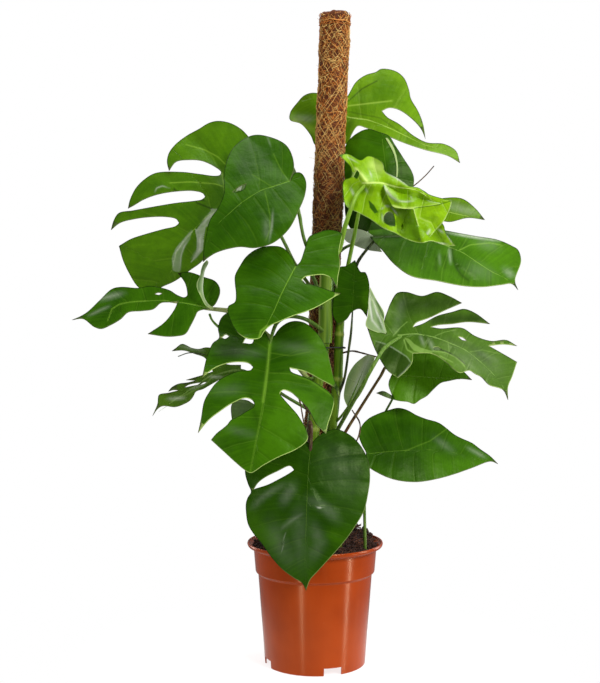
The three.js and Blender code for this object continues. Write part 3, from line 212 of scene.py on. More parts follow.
           ("shade", 0, 0.95, 368.5, 200, 374, 205, 378, 212, 375, 214, 370, 208),
           ("bloom", 1.1, 0.8, 438, 229, 444, 233), ("bloom", 0.8, 0.7, 447, 234, 452, 243),
           ("shade", 3, 0.5, 436, 234, 442, 240), ("bloom", 0.8, 0.7, 436, 243, 447, 244)]),
    dict(name="leaf_small_behind_new", look="light", base=(430, 208), tip=(485, 220), depth=-12, lean=0.2,
         turn=0.1, arch=4, curl=-4, wave=1, veins=4,
         outline=[(430, 208), (434, 201), (451, 197.5), (463, 199), (475, 208), (485, 220), (468, 218),
           (448, 222), (435, 217)],
         stalk=(2, [(331, 228, 36), (350, 230, 52), (384, 218, 60), (402, 212, 48), (418, 208, 14)]),
         marks=[("bloom", 4, 0.35, 445, 204, 478, 214), ("shade", 3, 0.3, 450, 201, 470, 206)]),
    dict(name="leaf_right_large", finish="gloss", stalk_look="dark", base=(371, 238), tip=(518, 290),
         depth=-8, lean=0.7, turn=-0.35, arch=12, fold=-4, curl=-14, wave=1.8, veins=7, swell=0.6, rim=0.6,
         rib=[(371, 237), (400, 236), (430, 240), (448, 246.5), (463, 253), (478, 263), (492, 272),
           (506, 279), (518, 290)],
         outline=[(371, 238), (367, 228), (366.5, 217), (371, 209), (384, 207), (397, 213), (408, 223),
           (448, 231), (475, 236), (498, 240), (512, 246), (518, 250), (521, 261), (515, 281), (518, 290),
           (512, 284), (501, 285), (483, 287), (463, 286), (437, 281), (411, 276), (394, 264), (382, 250)],
         puckers=[((452, 249), (457, 267), -3, 2.6), ((457, 267), (475, 281), -3, 2.6)],
         patches=[dict(under=True, depth=-5, lean=-0.6,
                       outline=[(373, 236), (362, 230), (350, 229), (344, 233), (345, 240), (356, 246),
                         (368, 250), (382, 252)],
                       marks=[("bloom", 0, 0.6, 340, 225, 390, 225, 390, 256, 340, 256)])],
         stalk=(2.4, [(343, 302, -24), (352, 277, -22), (359, 260, -16)]),
         marks=[("shade", 1.8, 0.55, 452, 249, 453, 258, 456, 267, 461, 275, 468, 280),
           ("bloom", 1.4, 0.4, 449, 248, 450.5, 264), ("bloom", 1.4, 0.16, 439, 252, 440, 266),
           ("shade", 2, 0.35, 411.5, 250, 411.5, 265), ("shade", 1.6, 0.35, 436, 258, 436, 270),
           ("shade", 1.6, 0.25, 445, 256, 445, 268), ("shade", 2.5, 0.9, 371, 237, 400, 236.5),
           ("pale", 0.6, 0.5, 460, 250, 470, 245, 490, 243, 500, 245), ("bloom", 3, 0.35, 504, 269, 514, 277),
           ("bloom", 7, 0.1, 466, 266, 494, 277), ("bloom", 5, 0.12, 476, 241, 498, 248),
           ("bloom", 1.2, 0.7, 445, 232.5, 475, 237.5, 500, 241.5), ("shade", 16, 0.3, 388, 248, 412, 254),
           ("fresh", 14, 0.5, 480, 260, 505, 262),
           ("shade", 0, 0.75, 364, 205, 400, 205, 412, 226, 366, 231)]),
    dict(name="leaf_right_split", finish="grey", base=(396, 336), tip=(508, 400), depth=-68, lean=0.5,
         turn=-0.3, arch=14, fold=4, curl=-10, wave=2.4, swell=0.6, crumple=(1.4, 12), rim=0.7,
         rib=[(396, 335.5), (417, 334), (435, 337.5), (452, 344), (465, 350), (478, 360), (492, 373),
           (503, 387), (508, 400)],
         outline=[(386, 334), (384, 322), (387, 312), (391, 302), (397, 293), (406, 292), (422, 296),
           (437, 292), (449, 296), (462, 303), (446, 310), (429, 318), (416, 323), (413, 327), (422, 324),
           (437, 316), (452, 312), (464, 309), (475, 313), (490, 324), (468, 322), (452, 324), (439, 325),
           (431, 327), (440, 328.5), (462, 328), (475, 336), (491, 341), (506, 340), (517, 346), (503, 344.5),
           (489, 346), (498, 351), (517, 362), (512, 377), (508, 387), (508, 400), (503, 390), (489, 385),
           (481, 377), (475, 374), (469.5, 370.5), (460, 373), (453, 369), (446, 362.5), (432, 354),
           (413, 353.5), (412, 363), (405, 372), (398, 378), (388, 371), (381, 361), (374, 347), (367, 327),
           (376, 331)],
         holes=[[(458.5, 336.8), (462.5, 337.5), (466.5, 340.6), (462, 340)],
           [(433.5, 347.4), (438, 347.2), (441, 349.6), (435, 350)]],
         patches=[dict(under=True, depth=-66, lean=0.12,
                       outline=[(387, 334), (384, 322), (384, 313), (376, 299), (370, 287), (368.5, 300),
                         (368, 314), (366, 326), (376, 332)],
                       marks=[("bloom", 1.1, 1, 369.5, 290, 369.7, 305, 372, 320, 380, 330),
                         ("bloom", 0.9, 0.8, 372, 296, 376, 310, 381, 322, 385, 332),
                         ("shade", 0.9, 1, 376, 300, 380, 309, 384, 318),
                         ("shade", 2.2, 0.75, 378, 314, 381, 328), ("shade", 0.9, 0.7, 370.5, 302, 373, 318),
                         ("shade", 1.2, 0.5, 375, 309, 378, 322), ("bloom", 0.7, 0.8, 374, 305, 378, 318)])],
         stalk=(2.8, [(331, 442, -32), (338, 429, -46), (361, 388, -96), (372, 368, -109), (381, 353, -99),
           (388, 343.5, -84)]),
         marks=[("shade", 12, 0.6, 405, 304, 450, 303), ("shade", 7, 0.4, 425, 298, 400, 296),
           ("shade", 7, 0.65, 435, 319, 486, 319),
           ("shade", 0.8, 0.7, 391, 302, 397, 293.5, 406, 292.5, 422, 296.5, 437, 292.5, 449, 296.5,
             462, 303),
           ("shade", 0.8, 0.6, 437, 316.5, 452, 312.5, 464, 309.5, 475, 313.5, 490, 324),
           ("bloom", 14, 0.07, 445, 346, 508, 376), ("fresh", 16, 0.4, 455, 350, 500, 375),
           ("shade", 3, 0.3, 450, 340, 470, 347, 488, 362), ("bloom", 3.4, 0.13, 458, 352, 482, 376),
           ("bloom", 3, 0.12, 474, 350, 502, 364), ("bloom", 4, 0.08, 402, 298, 396, 328),
           ("pale", 0.5, 0.4, 393, 336, 400, 328, 407, 322),
           ("pale", 0.5, 0.35, 435, 336, 445, 332, 455, 330), ("pale", 0.5, 0.3, 448, 342, 449, 351),
           ("pale", 0.5, 0.25, 470, 352, 482, 350, 500, 354),
           ("bloom", 0.5, 0.5, 375, 341, 385, 344, 393, 348, 401, 353, 407, 357, 411, 363),
           ("pale", 0.7, 0.6, 404, 340, 407, 350, 413, 353),
           ("shade", 0, 0.6, 375, 342, 385, 345, 393, 349, 401, 354, 407, 358, 411, 364, 405, 372, 398, 378,
             388, 371, 381, 361, 376, 351),
           ("bloom", 0.6, 0.4, 410, 364, 405, 371, 398, 377),
           ("pale", 0, 0.5, 404, 337.5, 409, 339, 414, 344, 421, 348, 433, 351.5, 432, 354, 422, 353,
             414, 351, 410, 346),
           ("shade", 0.7, 0.6, 413, 345, 411, 349), ("bloom", 2, 0.25, 429, 340, 434, 351),
           ("bloom", 1.6, 0.25, 420, 335, 424, 346), ("shade", 1.5, 0.35, 426, 338, 428, 345),
           ("fresh", 0, 1, 433, 351, 445, 353, 455, 357, 462, 363, 465, 366, 466, 371, 460, 373, 453, 369,
             446, 362, 440, 359.5, 434, 354),
           ("pale", 0.6, 0.55, 433, 351, 445, 352.5, 455, 357, 462, 363, 465, 367),
           ("shade", 0.9, 0.8, 441, 350, 450, 353.5, 458, 358.5, 464, 363),
           ("pale", 0.6, 0.5, 440, 356, 452, 362)]),
    dict(name="leaf_right_low_entire", look="gloss", stalk_look="brown", base=(393, 375), tip=(472, 380),
         depth=-14, lean=0.5, turn=-0.2, arch=6, curl=-10, wave=1.2, veins=5, rib_width=0.3,
         outline=[(392, 374), (400, 362), (412, 354), (425, 350), (436, 353), (450, 361), (464, 372),
           (472, 380), (460, 379), (449, 381), (441, 383), (433, 390), (427, 396), (420, 400), (414, 404),
           (408, 402), (399, 401), (388, 398), (376, 393), (383, 391), (392, 395.5), (388.5, 384)],
         stalk=(2.2, [(333, 454, -31), (346, 431, -36), (366, 399, -32), (387, 366, -20)]),
         marks=[("fresh", 14, 1, 440, 366, 458, 378), ("fresh", 22, 1, 402, 390, 440, 384),
           ("fresh", 9, 0.6, 412, 380, 422, 362),
           ("shade", 0, 0.75, 374, 392, 383, 389, 393, 394.5, 395, 399, 388, 400)]),
    dict(name="leaf_low_right_heart", stalk_look="green", base=(367, 453), tip=(498, 464), depth=-52,
         lean=0.6, turn=-0.3, arch=12, curl=-16, wave=1.8, veins=7, rib_width=0.5,
         rib=[(367, 454), (385, 452), (405, 450.5), (430, 450), (455, 453), (480, 459), (498, 464)],
         outline=[(366, 453), (362, 445), (359, 436), (361, 427), (368, 419), (380, 413), (389, 410),
           (398, 408), (407, 410), (416, 415), (426, 419), (439, 423), (455, 435), (463, 439), (472, 443),
           (480, 449), (490, 456), (498, 464), (491, 461.5), (472, 468), (455, 474), (437, 479), (418, 482),
           (401, 481), (389, 478), (378, 473), (370, 468), (365, 461)],
         stalk=(2.2, [(365, 556, -46), (365, 540, -45), (364.5, 508, -42), (365, 475, -42)]),
         marks=[("shade", 16, 0.25, 378, 448, 412, 464), ("shade", 9, 0.25, 398, 424, 436, 430),
           ("fresh", 12, 0.6, 438, 466, 472, 464), ("bloom", 3, 0.14, 434, 438, 454, 452),
           ("bloom", 1.8, 0.25, 466, 447, 486, 458), ("pale", 0.6, 0.3, 405, 451, 430, 441, 448, 428)]),
    dict(name="leaf_front_heart", stalk_look="purple", base=(311, 444), tip=(306, 591), depth=-94, lean=0.16,
         arch=18, fold=-2, curl=-12, wave=2.2, veins=7, crumple=(1.4, 13), rim=0.7, rib_width=0.5, shaded=0.4,
         rib=[(311, 444), (308.5, 470), (307, 500), (306, 530), (305, 560), (306, 591)],
         outline=[(311, 444), (318, 436), (327, 431), (336, 429), (345, 432), (355, 439), (364, 451),
           (369, 464), (370, 479), (368, 494), (364, 511), (354, 528), (347, 538), (337, 550), (328, 560),
           (318, 571), (310, 580), (306, 591), (302, 583), (294, 578), (282, 569), (272, 558), (262, 544),
           (253, 533), (248, 524), (246, 512), (246, 503), (248, 497), (251, 492), (248, 484), (245, 472),
           (247, 460), (255, 449), (268, 440), (285, 436), (300, 438)],
         holes=[[(254, 489), (258, 483), (265, 477.5), (277, 471.5), (290, 466), (294, 470), (288, 474),
           (279, 479), (268, 484.5)]],
         puckers=[((309, 489), (321, 507), 2.2, 3), ((286, 484), (296, 498), 1.8, 3.5),
           ((296, 524), (284, 543), 2, 4), ((322, 505), (334, 500), -1.8, 3.5)],
         stalk=(3, [(314, 482, -34), (311, 455, -58), (309, 425, -84), (310.5, 421, -96), (311, 432, -101)]),
         marks=[("shade", 11, 0.5, 322, 440, 345, 455), ("shade", 16, 0.3, 330, 470, 340, 510),
           ("shade", 9, 0.3, 296, 530, 300, 560), ("shade", 6, 0.3, 288, 500, 296, 513),
           ("fresh", 8, 0.9, 258, 527, 273, 540), ("fresh", 6, 0.7, 332, 535, 346, 540),
           ("bloom", 0.8, 0.95, 316.5, 506.5, 319, 508, 322, 507.5),
           ("bloom", 5, 0.13, 308, 498, 324, 506, 338, 520),
           ("bloom", 2.4, 0.16, 280, 530, 291, 521, 304, 513),
           ("bloom", 9, 0.08, 270, 522, 282, 548, 294, 566), ("bloom", 8, 0.07, 300, 505, 299, 540, 302, 570),
           ("bloom", 6, 0.1, 312, 522, 320, 542, 310, 562), ("bloom", 5, 0.14, 282, 504, 294, 484),
           ("bloom", 3, 0.14, 252, 508, 264, 496, 286, 483), ("bloom", 0.6, 0.3, 286, 532, 282, 544),
           ("bloom", 0.6, 0.3, 285, 540, 281, 554), ("bloom", 16, 0.05, 325, 448, 345, 475, 350, 500),
           ("shade", 1.2, 0.25, 312, 498, 330, 502, 344, 512)]),
    dict(name="leaf_front_split", base=(269, 339), tip=(251, 473), depth=-106, lean=0.5, turn=0.04, arch=20,
         fold=4, curl=-18, wave=2.4, rim=1, rib_width=0.6,
         rib=[(269.5, 339), (268.7, 354), (268, 371), (266, 390), (263, 412), (258, 435), (251, 473)],
         outline=[(269, 339), (273, 337), (279, 329), (287, 323), (295, 321), (305, 323), (314, 330),
           (321, 338), (327, 350), (330, 362), (334, 379), (339, 390), (339, 398), (334.5, 388), (321, 380),
           (306, 372), (290, 368), (291, 371.5), (307, 378), (321, 386), (330, 393), (334, 400), (332, 412),
           (328, 424), (326, 434), (316, 424), (308, 409), (297, 397.5), (291, 392.5), (283, 390),
           (280, 393.5), (283, 398), (290, 406), (297, 414), (301, 420), (306, 429), (308, 438), (305, 443),
           (295, 450), (279, 457), (264, 465), (251, 473), (246, 471), (235, 462), (223, 451), (211, 440),
           (216, 434), (227, 425), (231, 420), (237, 417), (247, 411), (254, 406), (253, 401), (246, 398),
           (231, 404), (222, 410), (209, 420), (198, 433), (201, 419), (204, 402), (208, 394), (217, 382),
           (228, 375), (240, 371), (251, 370), (253, 367), (249, 363.5), (240, 362), (229, 363), (217, 367),
           (209, 372), (202, 378), (206, 360), (209, 351), (213, 343), (219, 338), (218, 328), (222, 317),
           (232, 311), (246, 313), (258, 322), (266, 333)],
         holes=[[(243, 343), (247, 337), (254, 338.5), (252, 343.5)],
           [(222, 337.5), (226, 334.5), (229, 336.5), (225, 339)]],
         stalk=(2.8, [(326, 334, -34), (317, 326, -54), (302, 318, -78), (286, 317, -90), (274, 325, -94)]),
         marks=[("pale", 1.3, 0.75, 270.5, 340, 268.5, 360, 266, 380, 263, 402),
           ("pale", 0.7, 0.3, 263, 402, 260, 420, 256, 440, 250, 472),
           ("pale", 0.6, 0.25, 270, 353, 290, 356, 310, 352),
           ("pale", 0.6, 0.25, 268, 373, 290, 374, 310, 381, 330, 395), ("shade", 8, 0.4, 278, 337, 300, 342),
           ("fresh", 13, 0.7, 316, 352, 322, 376), ("fresh", 20, 0.8, 290, 410, 268, 445),
           ("bloom", 5, 0.08, 276, 346, 316, 350), ("bloom", 5, 0.09, 214, 350, 264, 354),
           ("shade", 0.9, 0.3, 265, 358, 240, 353, 212, 356),
           ("bloom", 1.1, 0.14, 264, 355, 240, 349, 214, 352),
           ("shade", 0.9, 0.3, 271, 372, 290, 370, 318, 379), ("shade", 2, 0.2, 222, 345, 258, 349),
           ("bloom", 5, 0.08, 212, 392, 244, 388), ("bloom", 4, 0.07, 226, 428, 256, 436),
           ("shade", 2, 0.2, 250, 395, 258, 425)]),
    dict(name="leaf_centre_heart", base=(296, 266), tip=(260, 338), depth=-96, lean=0.62, arch=10, fold=5,
         curl=-14, rim=1,
         rib=[(296, 266), (288.5, 280), (281, 295), (274, 311), (260, 338)],
         outline=[(296, 266), (300, 262), (305, 248), (309, 237), (317, 233), (327, 230), (337, 231),
           (342, 234), (341, 241), (339, 252), (340, 265), (338, 277), (337, 289), (331, 278.5), (324, 275),
           (313, 275.5), (305, 277), (302, 280), (304, 283), (311, 284.5), (321, 287.5), (331, 291),
           (341, 293.5), (336, 296), (326, 302), (315, 308), (305, 312), (293, 316), (281, 321), (270, 326),
           (264, 332), (260, 338), (249, 339), (239, 334), (231, 322), (228, 307), (235, 302), (236, 294),
           (235, 284), (235, 276), (240, 266), (246, 257), (255, 250), (263, 247), (273, 246), (281, 247),
           (287, 251), (293, 259)],
         stalk=(2.8, [(325, 318, -34), (320, 296, -54), (312, 275, -76), (303, 265, -88)]),
         marks=[("pale", 0.9, 0.9, 267, 326, 261, 331, 259, 338, 263, 341, 267, 337, 268, 331)]),
    dict(name="leaf_left_twisted", stalk_look="pale", base=(209, 308), tip=(72, 320), depth=-58, lean=0.55,
         turn=0.3, arch=10, fold=3, curl=-6, wave=2.6,
         rib=[(209, 308), (190, 304), (165, 300.5), (148, 301), (127, 302.5), (115, 307), (108, 320)],
         outline=[(210, 308), (214.6, 305), (217.8, 299.6), (220, 293), (219.5, 287), (215, 281), (204, 277),
           (188.5, 272), (177.6, 273), (184.6, 282.4), (187, 290.7), (187, 295.8), (184, 297.4),
           (176.4, 294.5), (170.6, 290.7), (160.4, 287.5), (150, 286), (138, 288), (121, 287), (112, 289),
           (99, 301), (88, 311.5), (81, 316), (72, 320), (83, 319), (94, 327), (101, 329), (111, 325),
           (121, 319), (128, 312.5), (142, 311), (153.4, 309.2), (161, 303), (169, 302.3), (178, 301.5),
           (173.8, 310.5), (164.2, 322.6), (147.7, 334), (165.5, 336.6), (175.7, 336.3), (185.3, 334),
           (191, 325.2), (195.5, 316.2), (198, 311.5)],
         holes=[[(155, 294), (158, 292.7), (162, 293.4), (159, 295)]],
         patches=[dict(under=True, depth=-63, lean=0.08, turn=0, wave=0,
                       outline=[(207, 260), (208.5, 262), (204.8, 271), (203.4, 281), (203, 290),
                         (204.7, 298), (209, 304.5), (214, 307.5), (213, 310), (206, 306), (200.5, 296),
                         (197, 288), (197, 282.5), (200, 275.5), (201.2, 269), (203.5, 263.5)],
                       marks=[("bloom", 0.9, 1, 208, 262, 204.5, 271, 203, 282, 203, 290, 205, 298,
                                209, 304.5),
                         ("shade", 1.2, 0.8, 203.5, 264, 200.5, 276, 198.5, 284, 199, 290)])],
         stalk=(3.4, [(315, 388, -34), (294, 362, -48), (264, 332, -56), (240, 314, -60), (222, 309.5, -62)]),
         marks=[("bloom", 2.4, 0.35, 98, 300, 124, 293), ("bloom", 1.4, 0.3, 88, 316, 110, 306),
           ("pale", 0.6, 0.6, 108, 320, 112, 309, 120, 304, 132, 302, 146, 301)]),
    dict(name="leaf_left_low_narrow", look="grey", base=(213, 374), tip=(152, 416), depth=-30, lean=0.9,
         turn=0.3, arch=4, fold=2, curl=-3, wave=2, veins=4,
         outline=[(241, 365), (226, 364), (216, 357), (213, 349), (206, 347.5), (199, 349), (192, 348),
           (182, 344), (176, 348), (172, 351), (184, 350.5), (195, 354), (205, 358), (209, 366), (213, 371.5),
           (206, 374), (198, 376.5), (186, 380), (196, 380.5), (188, 382.5), (178, 384), (171, 388),
           (168.5, 391.5), (173, 390), (179, 390.4), (168, 393), (159, 395), (157.5, 404), (152.5, 416),
           (158, 408.5), (163, 406), (175, 407), (183, 404.5), (190, 400.5), (193.5, 396), (196, 391.5),
           (203, 389), (210, 385), (217, 381), (228, 375), (240, 373)],
         holes=[[(184.5, 387.6), (188, 385), (198, 382.8), (207, 382), (204, 384), (195, 385.4)]],
         twigs=[dict(look="stalk_dark", radius=(1, 0.7),
                     route=[(206, 355, -19), (196, 353, -15), (188, 353, -13), (178, 356.5, -12)])],
         stalk=(2.4, [(313, 412, -34), (285, 396, -40), (255, 376, -40), (236, 369, -38)]),
         marks=[("fresh", 8, 1, 162, 400, 192, 391), ("fresh", 7, 1, 172, 388, 216, 372),
           ("fresh", 8, 0.8, 176, 346, 205, 352), ("pale", 0.7, 0.5, 172, 401, 188, 394, 206, 384, 214, 376),
           ("bloom", 1.6, 0.7, 168, 399, 185, 398), ("bloom", 1.4, 0.7, 208, 377, 222, 377),
           ("bloom", 1.6, 0.5, 178, 346, 205, 351), ("bloom", 1.2, 0.5, 190, 390, 206, 383)]),
    dict(name="leaf_centre_dark", stalk_look="dark", base=(352, 318), tip=(355, 260), depth=-41, lean=-0.05,
         turn=0.1, arch=3, fold=4, curl=-4, wave=1.2, veins=4, rib_width=0.2, shaded=0.15,
         outline=[(352, 312), (347, 319), (338, 325), (333, 316), (333, 300), (336, 282), (340, 267),
           (346, 266), (355, 260), (361, 272), (365, 272), (369, 282), (369, 300), (367, 317), (360, 309)],
         stalk=(1.8, [(337, 398, -31), (344, 380, -46), (348, 355, -50), (351, 333, -50)]),
         marks=[("fresh", 5, 1, 367, 296, 363, 312)]),
    dict(name="leaf_centre_pale", under=True, base=(348, 408), tip=(369, 356), depth=-46, lean=-0.1, turn=0.2,
         arch=3, fold=5, curl=0, wave=1, veins=4,
         outline=[(348, 408), (344, 398), (345, 386), (349, 373), (355, 364), (362, 358), (367, 355),
           (375, 357), (372, 368), (366, 384), (358, 398)],
         stalk=(1.8, [(333, 424, -32), (342, 416, -42)]),
         marks=[("bloom", 2.2, 0.8, 372, 352, 366, 364, 358, 382, 352, 397),
           ("shade", 7, 0.75, 357, 359, 348, 392), ("pale", 5, 0.4, 368, 350, 349, 394)]),
    dict(name="leaf_low_behind_front", look="grey", base=(262, 404), tip=(262, 456), depth=-50, lean=0.3,
         arch=5, curl=-8, wave=1.2, veins=5,
         outline=[(262, 406), (254, 404), (248, 400.5), (240, 399.5), (232, 404), (232, 420), (236, 436),
           (247, 449), (262, 456), (280, 450), (294, 438), (297, 424), (288, 410), (276, 404), (268, 403)],
         stalk=(2, [(313, 446, -34), (298, 428, -52), (282, 412, -60), (271, 404, -58)]),
         marks=[("bloom", 14, 0.14, 228, 412, 254, 402)]),
    dict(name="leaf_back_left", under=True, base=(292, 190), tip=(234, 234), depth=108, lean=-0.45, turn=0.1,
         arch=-8, curl=12,
         outline=[(292, 190), (297, 176), (289, 160), (274, 150), (257, 149), (244, 158), (237, 175),
           (234, 195), (232, 215), (234, 234), (250, 236), (266, 233), (280, 222), (291, 207), (297, 196)],
         stalk=(2.3, [(328, 278, 36), (314, 258, 46), (306, 245, 54), (301.5, 227, 76), (298, 208, 100)])),
    dict(name="leaf_back_centre", under=True, base=(289, 264), tip=(252, 326), depth=92, lean=-0.85,
         turn=0.15, arch=-8, curl=12,
         outline=[(289, 264), (281, 256), (268, 254), (254, 260), (246, 272), (243, 288), (241, 304),
           (246, 318), (252, 326), (266, 319), (280, 312), (292, 302), (298, 288), (298, 274)],
         stalk=(2.3, [(327, 338, 36), (316, 312, 64), (304, 284, 88)])),
    dict(name="leaf_back_right", under=True, base=(386, 242), tip=(486, 266), depth=66, lean=-0.9, turn=-0.3,
         arch=-10, curl=12,
         outline=[(386, 242), (389, 232), (400, 226), (418, 228), (438, 234), (458, 241), (474, 251),
           (486, 266), (470, 272), (450, 274), (430, 272), (412, 266), (397, 257)],
         stalk=(2.3, [(329, 262, 36), (348, 246, 52), (368, 242, 60)])),
    dict(name="leaf_back_low_right", under=True, base=(409, 368), tip=(474, 366), depth=34, lean=-0.4,
         turn=-0.35, arch=-6, curl=8, wave=1.4, veins=5,
         outline=[(409, 368), (409, 357), (418, 347), (434, 342), (450, 346), (463, 354), (474, 366),
           (460, 369), (448, 373), (434, 379), (419, 379)],
         stalk=(1.8, [(364.5, 552, 8), (364.5, 520, 10), (366, 484, 14), (382, 420, 14), (393, 398, 14),
           (402, 380, 30)])),
    dict(name="leaf_back_low_centre", under=True, base=(334, 446), tip=(326, 505), depth=92, lean=-0.9,
         arch=-8, curl=10,
         outline=[(334, 446), (343, 440), (352, 446), (358, 458), (358, 474), (349, 490), (338, 500),
           (326, 505), (312, 496), (302, 482), (298, 466), (304, 452), (316, 444), (327, 443)],
         stalk=(2.3, [(322, 488, 33), (326, 462, 58), (331, 440, 80), (334, 438, 92)])),
]

# What holds for a leaf that doesn't say otherwise.
USUAL_LEAF = dict(finish="dark", under=False, turn=0, fold=0, wave=1.6, swell=0.35, crumple=(0.8, 18),
                  veins=6, rib_width=1, rim=0.25, shaded=0, stalk_look="green", stalk_taper=0.95,
                  holes=[], creases=[], puckers=[], patches=[], twigs=[], marks=[])

STEMS = [
    dict(name="stem_left", radius=(8.5, 9.5, 8.5), rings=(0.42, 0.66, 0.82),
         route=[(318, 558, -34), (316, 520, -35), (314, 480, -35), (313, 430, -35), (317, 385, -35),
               (324, 343, -34), (326, 300, -34), (327, 250, -33)]),
    dict(name="stem_right", radius=(7.5, 8, 6), rings=(0.3, 0.64, 0.8),
         route=[(338, 558, -28), (336, 520, -31), (333, 480, -32), (332, 430, -32), (335, 400, -32),
               (338, 376, -30), (339, 340, -28), (341, 310, -26), (344, 278, -22)]),
    dict(name="stem_back", radius=(8, 8.5, 6.5), rings=(0.36, 0.62, 0.86),
         route=[(322, 545, 34), (322, 500, 35), (322, 450, 35), (324, 400, 35), (326, 340, 35),
               (328, 280, 35), (331, 220, 35), (332, 190, 35)]),
]
ROOTS = [
    dict(name="aerial_root_right", radius=(1.6, 1),
         route=[(339, 354, -29), (352, 351, -35), (362, 353, -34), (377, 357, -30)]),
    dict(name="aerial_root_left", look="stalk_green", radius=(1.6, 1.8),
         route=[(318, 379, -35), (290, 374, -62), (250, 349, -66), (221, 329, -50), (212, 320, -42),
               (209.5, 314, -38)]),
    dict(name="aerial_root_front", radius=(1.8, 1),
         route=[(313, 418, -35), (303, 402, -56), (296, 385, -66), (300, 402, -76), (304, 424, -78)]),
    dict(name="aerial_root_low", radius=(1.8, 1),
         route=[(333, 464, -32), (345, 452, -44), (357, 440, -50), (360, 424, -46), (352, 410, -36)]),
]


# Finishes
def ink(red, green, blue):
    """A colour as eyes see it, 0 to 255 a channel, as the light it sends back."""
    light = [c / 255 / 12.92 if c <= 10 else ((c / 255 + 0.055) / 1.055) ** 2.4 for c in (red, green, blue)]
    return (*light, 1)


class Value:
    """A number that changes over a surface. Arithmetic on it adds Math nodes."""

    def __init__(self, finish, socket):
        self.finish, self.socket = finish, socket

    def work(self, operation, *values):
        return self.finish.node("ShaderNodeMath", {"operation": operation}, list(values))

    def __add__(self, other):
        return self.work("ADD", self, other)

    def __radd__(self, other):
        return self.work("ADD", other, self)

    def __sub__(self, other):
        return self.work("SUBTRACT", self, other)

    def __rsub__(self, other):
        return self.work("SUBTRACT", other, self)

    def __mul__(self, other):
        return self.work("MULTIPLY", self, other)

    def __rmul__(self, other):
        return self.work("MULTIPLY", other, self)

    def size(self):
        return self.work("ABSOLUTE", self)

    def off_whole(self):
        """How far the number is from the nearest whole one."""
        return (self.work("FRACT", self + 0.5) - 0.5).size()

    def step(self, low, high):
        """0 below low, 1 above high and smooth between."""
        return self.finish.node("ShaderNodeMapRange", {"interpolation_type": "SMOOTHSTEP"},
                                {"Value": self, "From Min": low, "From Max": high})


class Finish:
    """A material whose colour, roughness and relief are worked out over the surface."""

    def __init__(self, name, **constants):
        self.material = bpy.data.materials.new(name)
        self.material.use_nodes = True
        self.tree = self.material.node_tree
        self.shader = self.tree.nodes["Principled BSDF"]
        for socket, number in constants.items():
            self.shader.inputs[socket.replace("_", " ").title().replace("Ior", "IOR")].default_value = number
        self.place = self.node("ShaderNodeTexCoord", {}, {}, "Object")

    def feed(self, socket, value):
        if isinstance(value, Value):
            self.tree.links.new(value.socket, socket)
        else:
            socket.default_value = value

    def node(self, kind, settings, inputs, output=0):
        made = self.tree.nodes.new(kind)
        for key, setting in settings.items():
            setattr(made, key, setting)
        pairs = enumerate(inputs) if isinstance(inputs, list) else inputs.items()
        for key, value in pairs:
            self.feed(made.inputs[key], value)
        return Value(self, made.outputs[output])

    def attribute(self, name):
        return self.node("ShaderNodeAttribute", {"attribute_name": name}, {}, "Fac")

    def blend(self, share, first, second):
        return self.node("ShaderNodeMix", {"data_type": "RGBA"}, {0: share, 6: first, 7: second}, 2)

    def coats(self, colour, *coats):
        """A colour with others laid over it in turn, each by its own share."""
        for share, coat in coats:
            colour = self.blend(share, colour, coat)
        return colour

    def grains(self, size, detail=3.0, place=None, rough=0.5):
        """Noise whose patches are about so many metres, or units of the place given."""
        return self.node("ShaderNodeTexNoise", {}, {"Vector": place or self.place, "Scale": 1 / size,
                                                    "Detail": detail, "Roughness": rough}, "Fac")

    def stretched(self, x, y, z):
        return self.node("ShaderNodeMapping", {}, {"Vector": self.place, "Scale": (x, y, z)})

    def paint(self, colour, roughness, height=None, depth=0.0004, strength=1.0):
        """Sends colour, roughness and a relief so many metres deep to the shader."""
        self.feed(self.shader.inputs["Base Color"], colour)
        self.feed(self.shader.inputs["Roughness"], roughness)
        if height is not None:
            bump = {"Height": height, "Distance": depth, "Strength": strength}
            self.feed(self.shader.inputs["Normal"], self.node("ShaderNodeBump", {}, bump))
        return self.material


# The tones stand in partly for light and shade: the light tone is brighter in part for the light that shines
# through the top leaves, and some leaves take a brighter or a darker tone for the light or the shade they
# stand in.
LEAF_TONES = {  # deep green, fresh green, vein
    "dark": (ink(37, 80, 3), ink(68, 120, 6), ink(122, 168, 48)),
    "gloss": (ink(44, 88, 4), ink(80, 134, 10), ink(140, 184, 64)),
    "grey": (ink(50, 88, 12), ink(84, 124, 26), ink(146, 184, 88)),
    "bright": (ink(52, 98, 3), ink(88, 136, 6), ink(150, 192, 58)),
    "light": (ink(80, 126, 5), ink(122, 170, 14), ink(180, 216, 84)),
    "new": (ink(112, 162, 6), ink(164, 212, 22), ink(218, 244, 130)),
}
SHADE = ink(10, 30, 2)
# The whitish colour of painted glare: highlights and reflections laid on the leaves as colour.
GLARE = ink(206, 214, 192)


def vein_marks(finish, waver):
    """How far off a side vein is, veins, rib and margin from 0 to 1, and a place that runs along veins."""
    vein, aside = finish.attribute("vein"), finish.attribute("aside")
    off = (vein + (waver - 0.5) * 0.22).off_whole()
    lines = (1 - off.step(0.0, 0.035)) * (1 - aside.step(0.2, 0.5))
    rib = 1 - finish.attribute("ribline").step(0.4, 0.8)
    margin = 1 - finish.attribute("edge").step(0.5, 1.4)
    along_veins = finish.node("ShaderNodeCombineXYZ", {}, [vein * 9, aside * 2.2, 0.0])
    return off, lines, rib, margin, along_veins


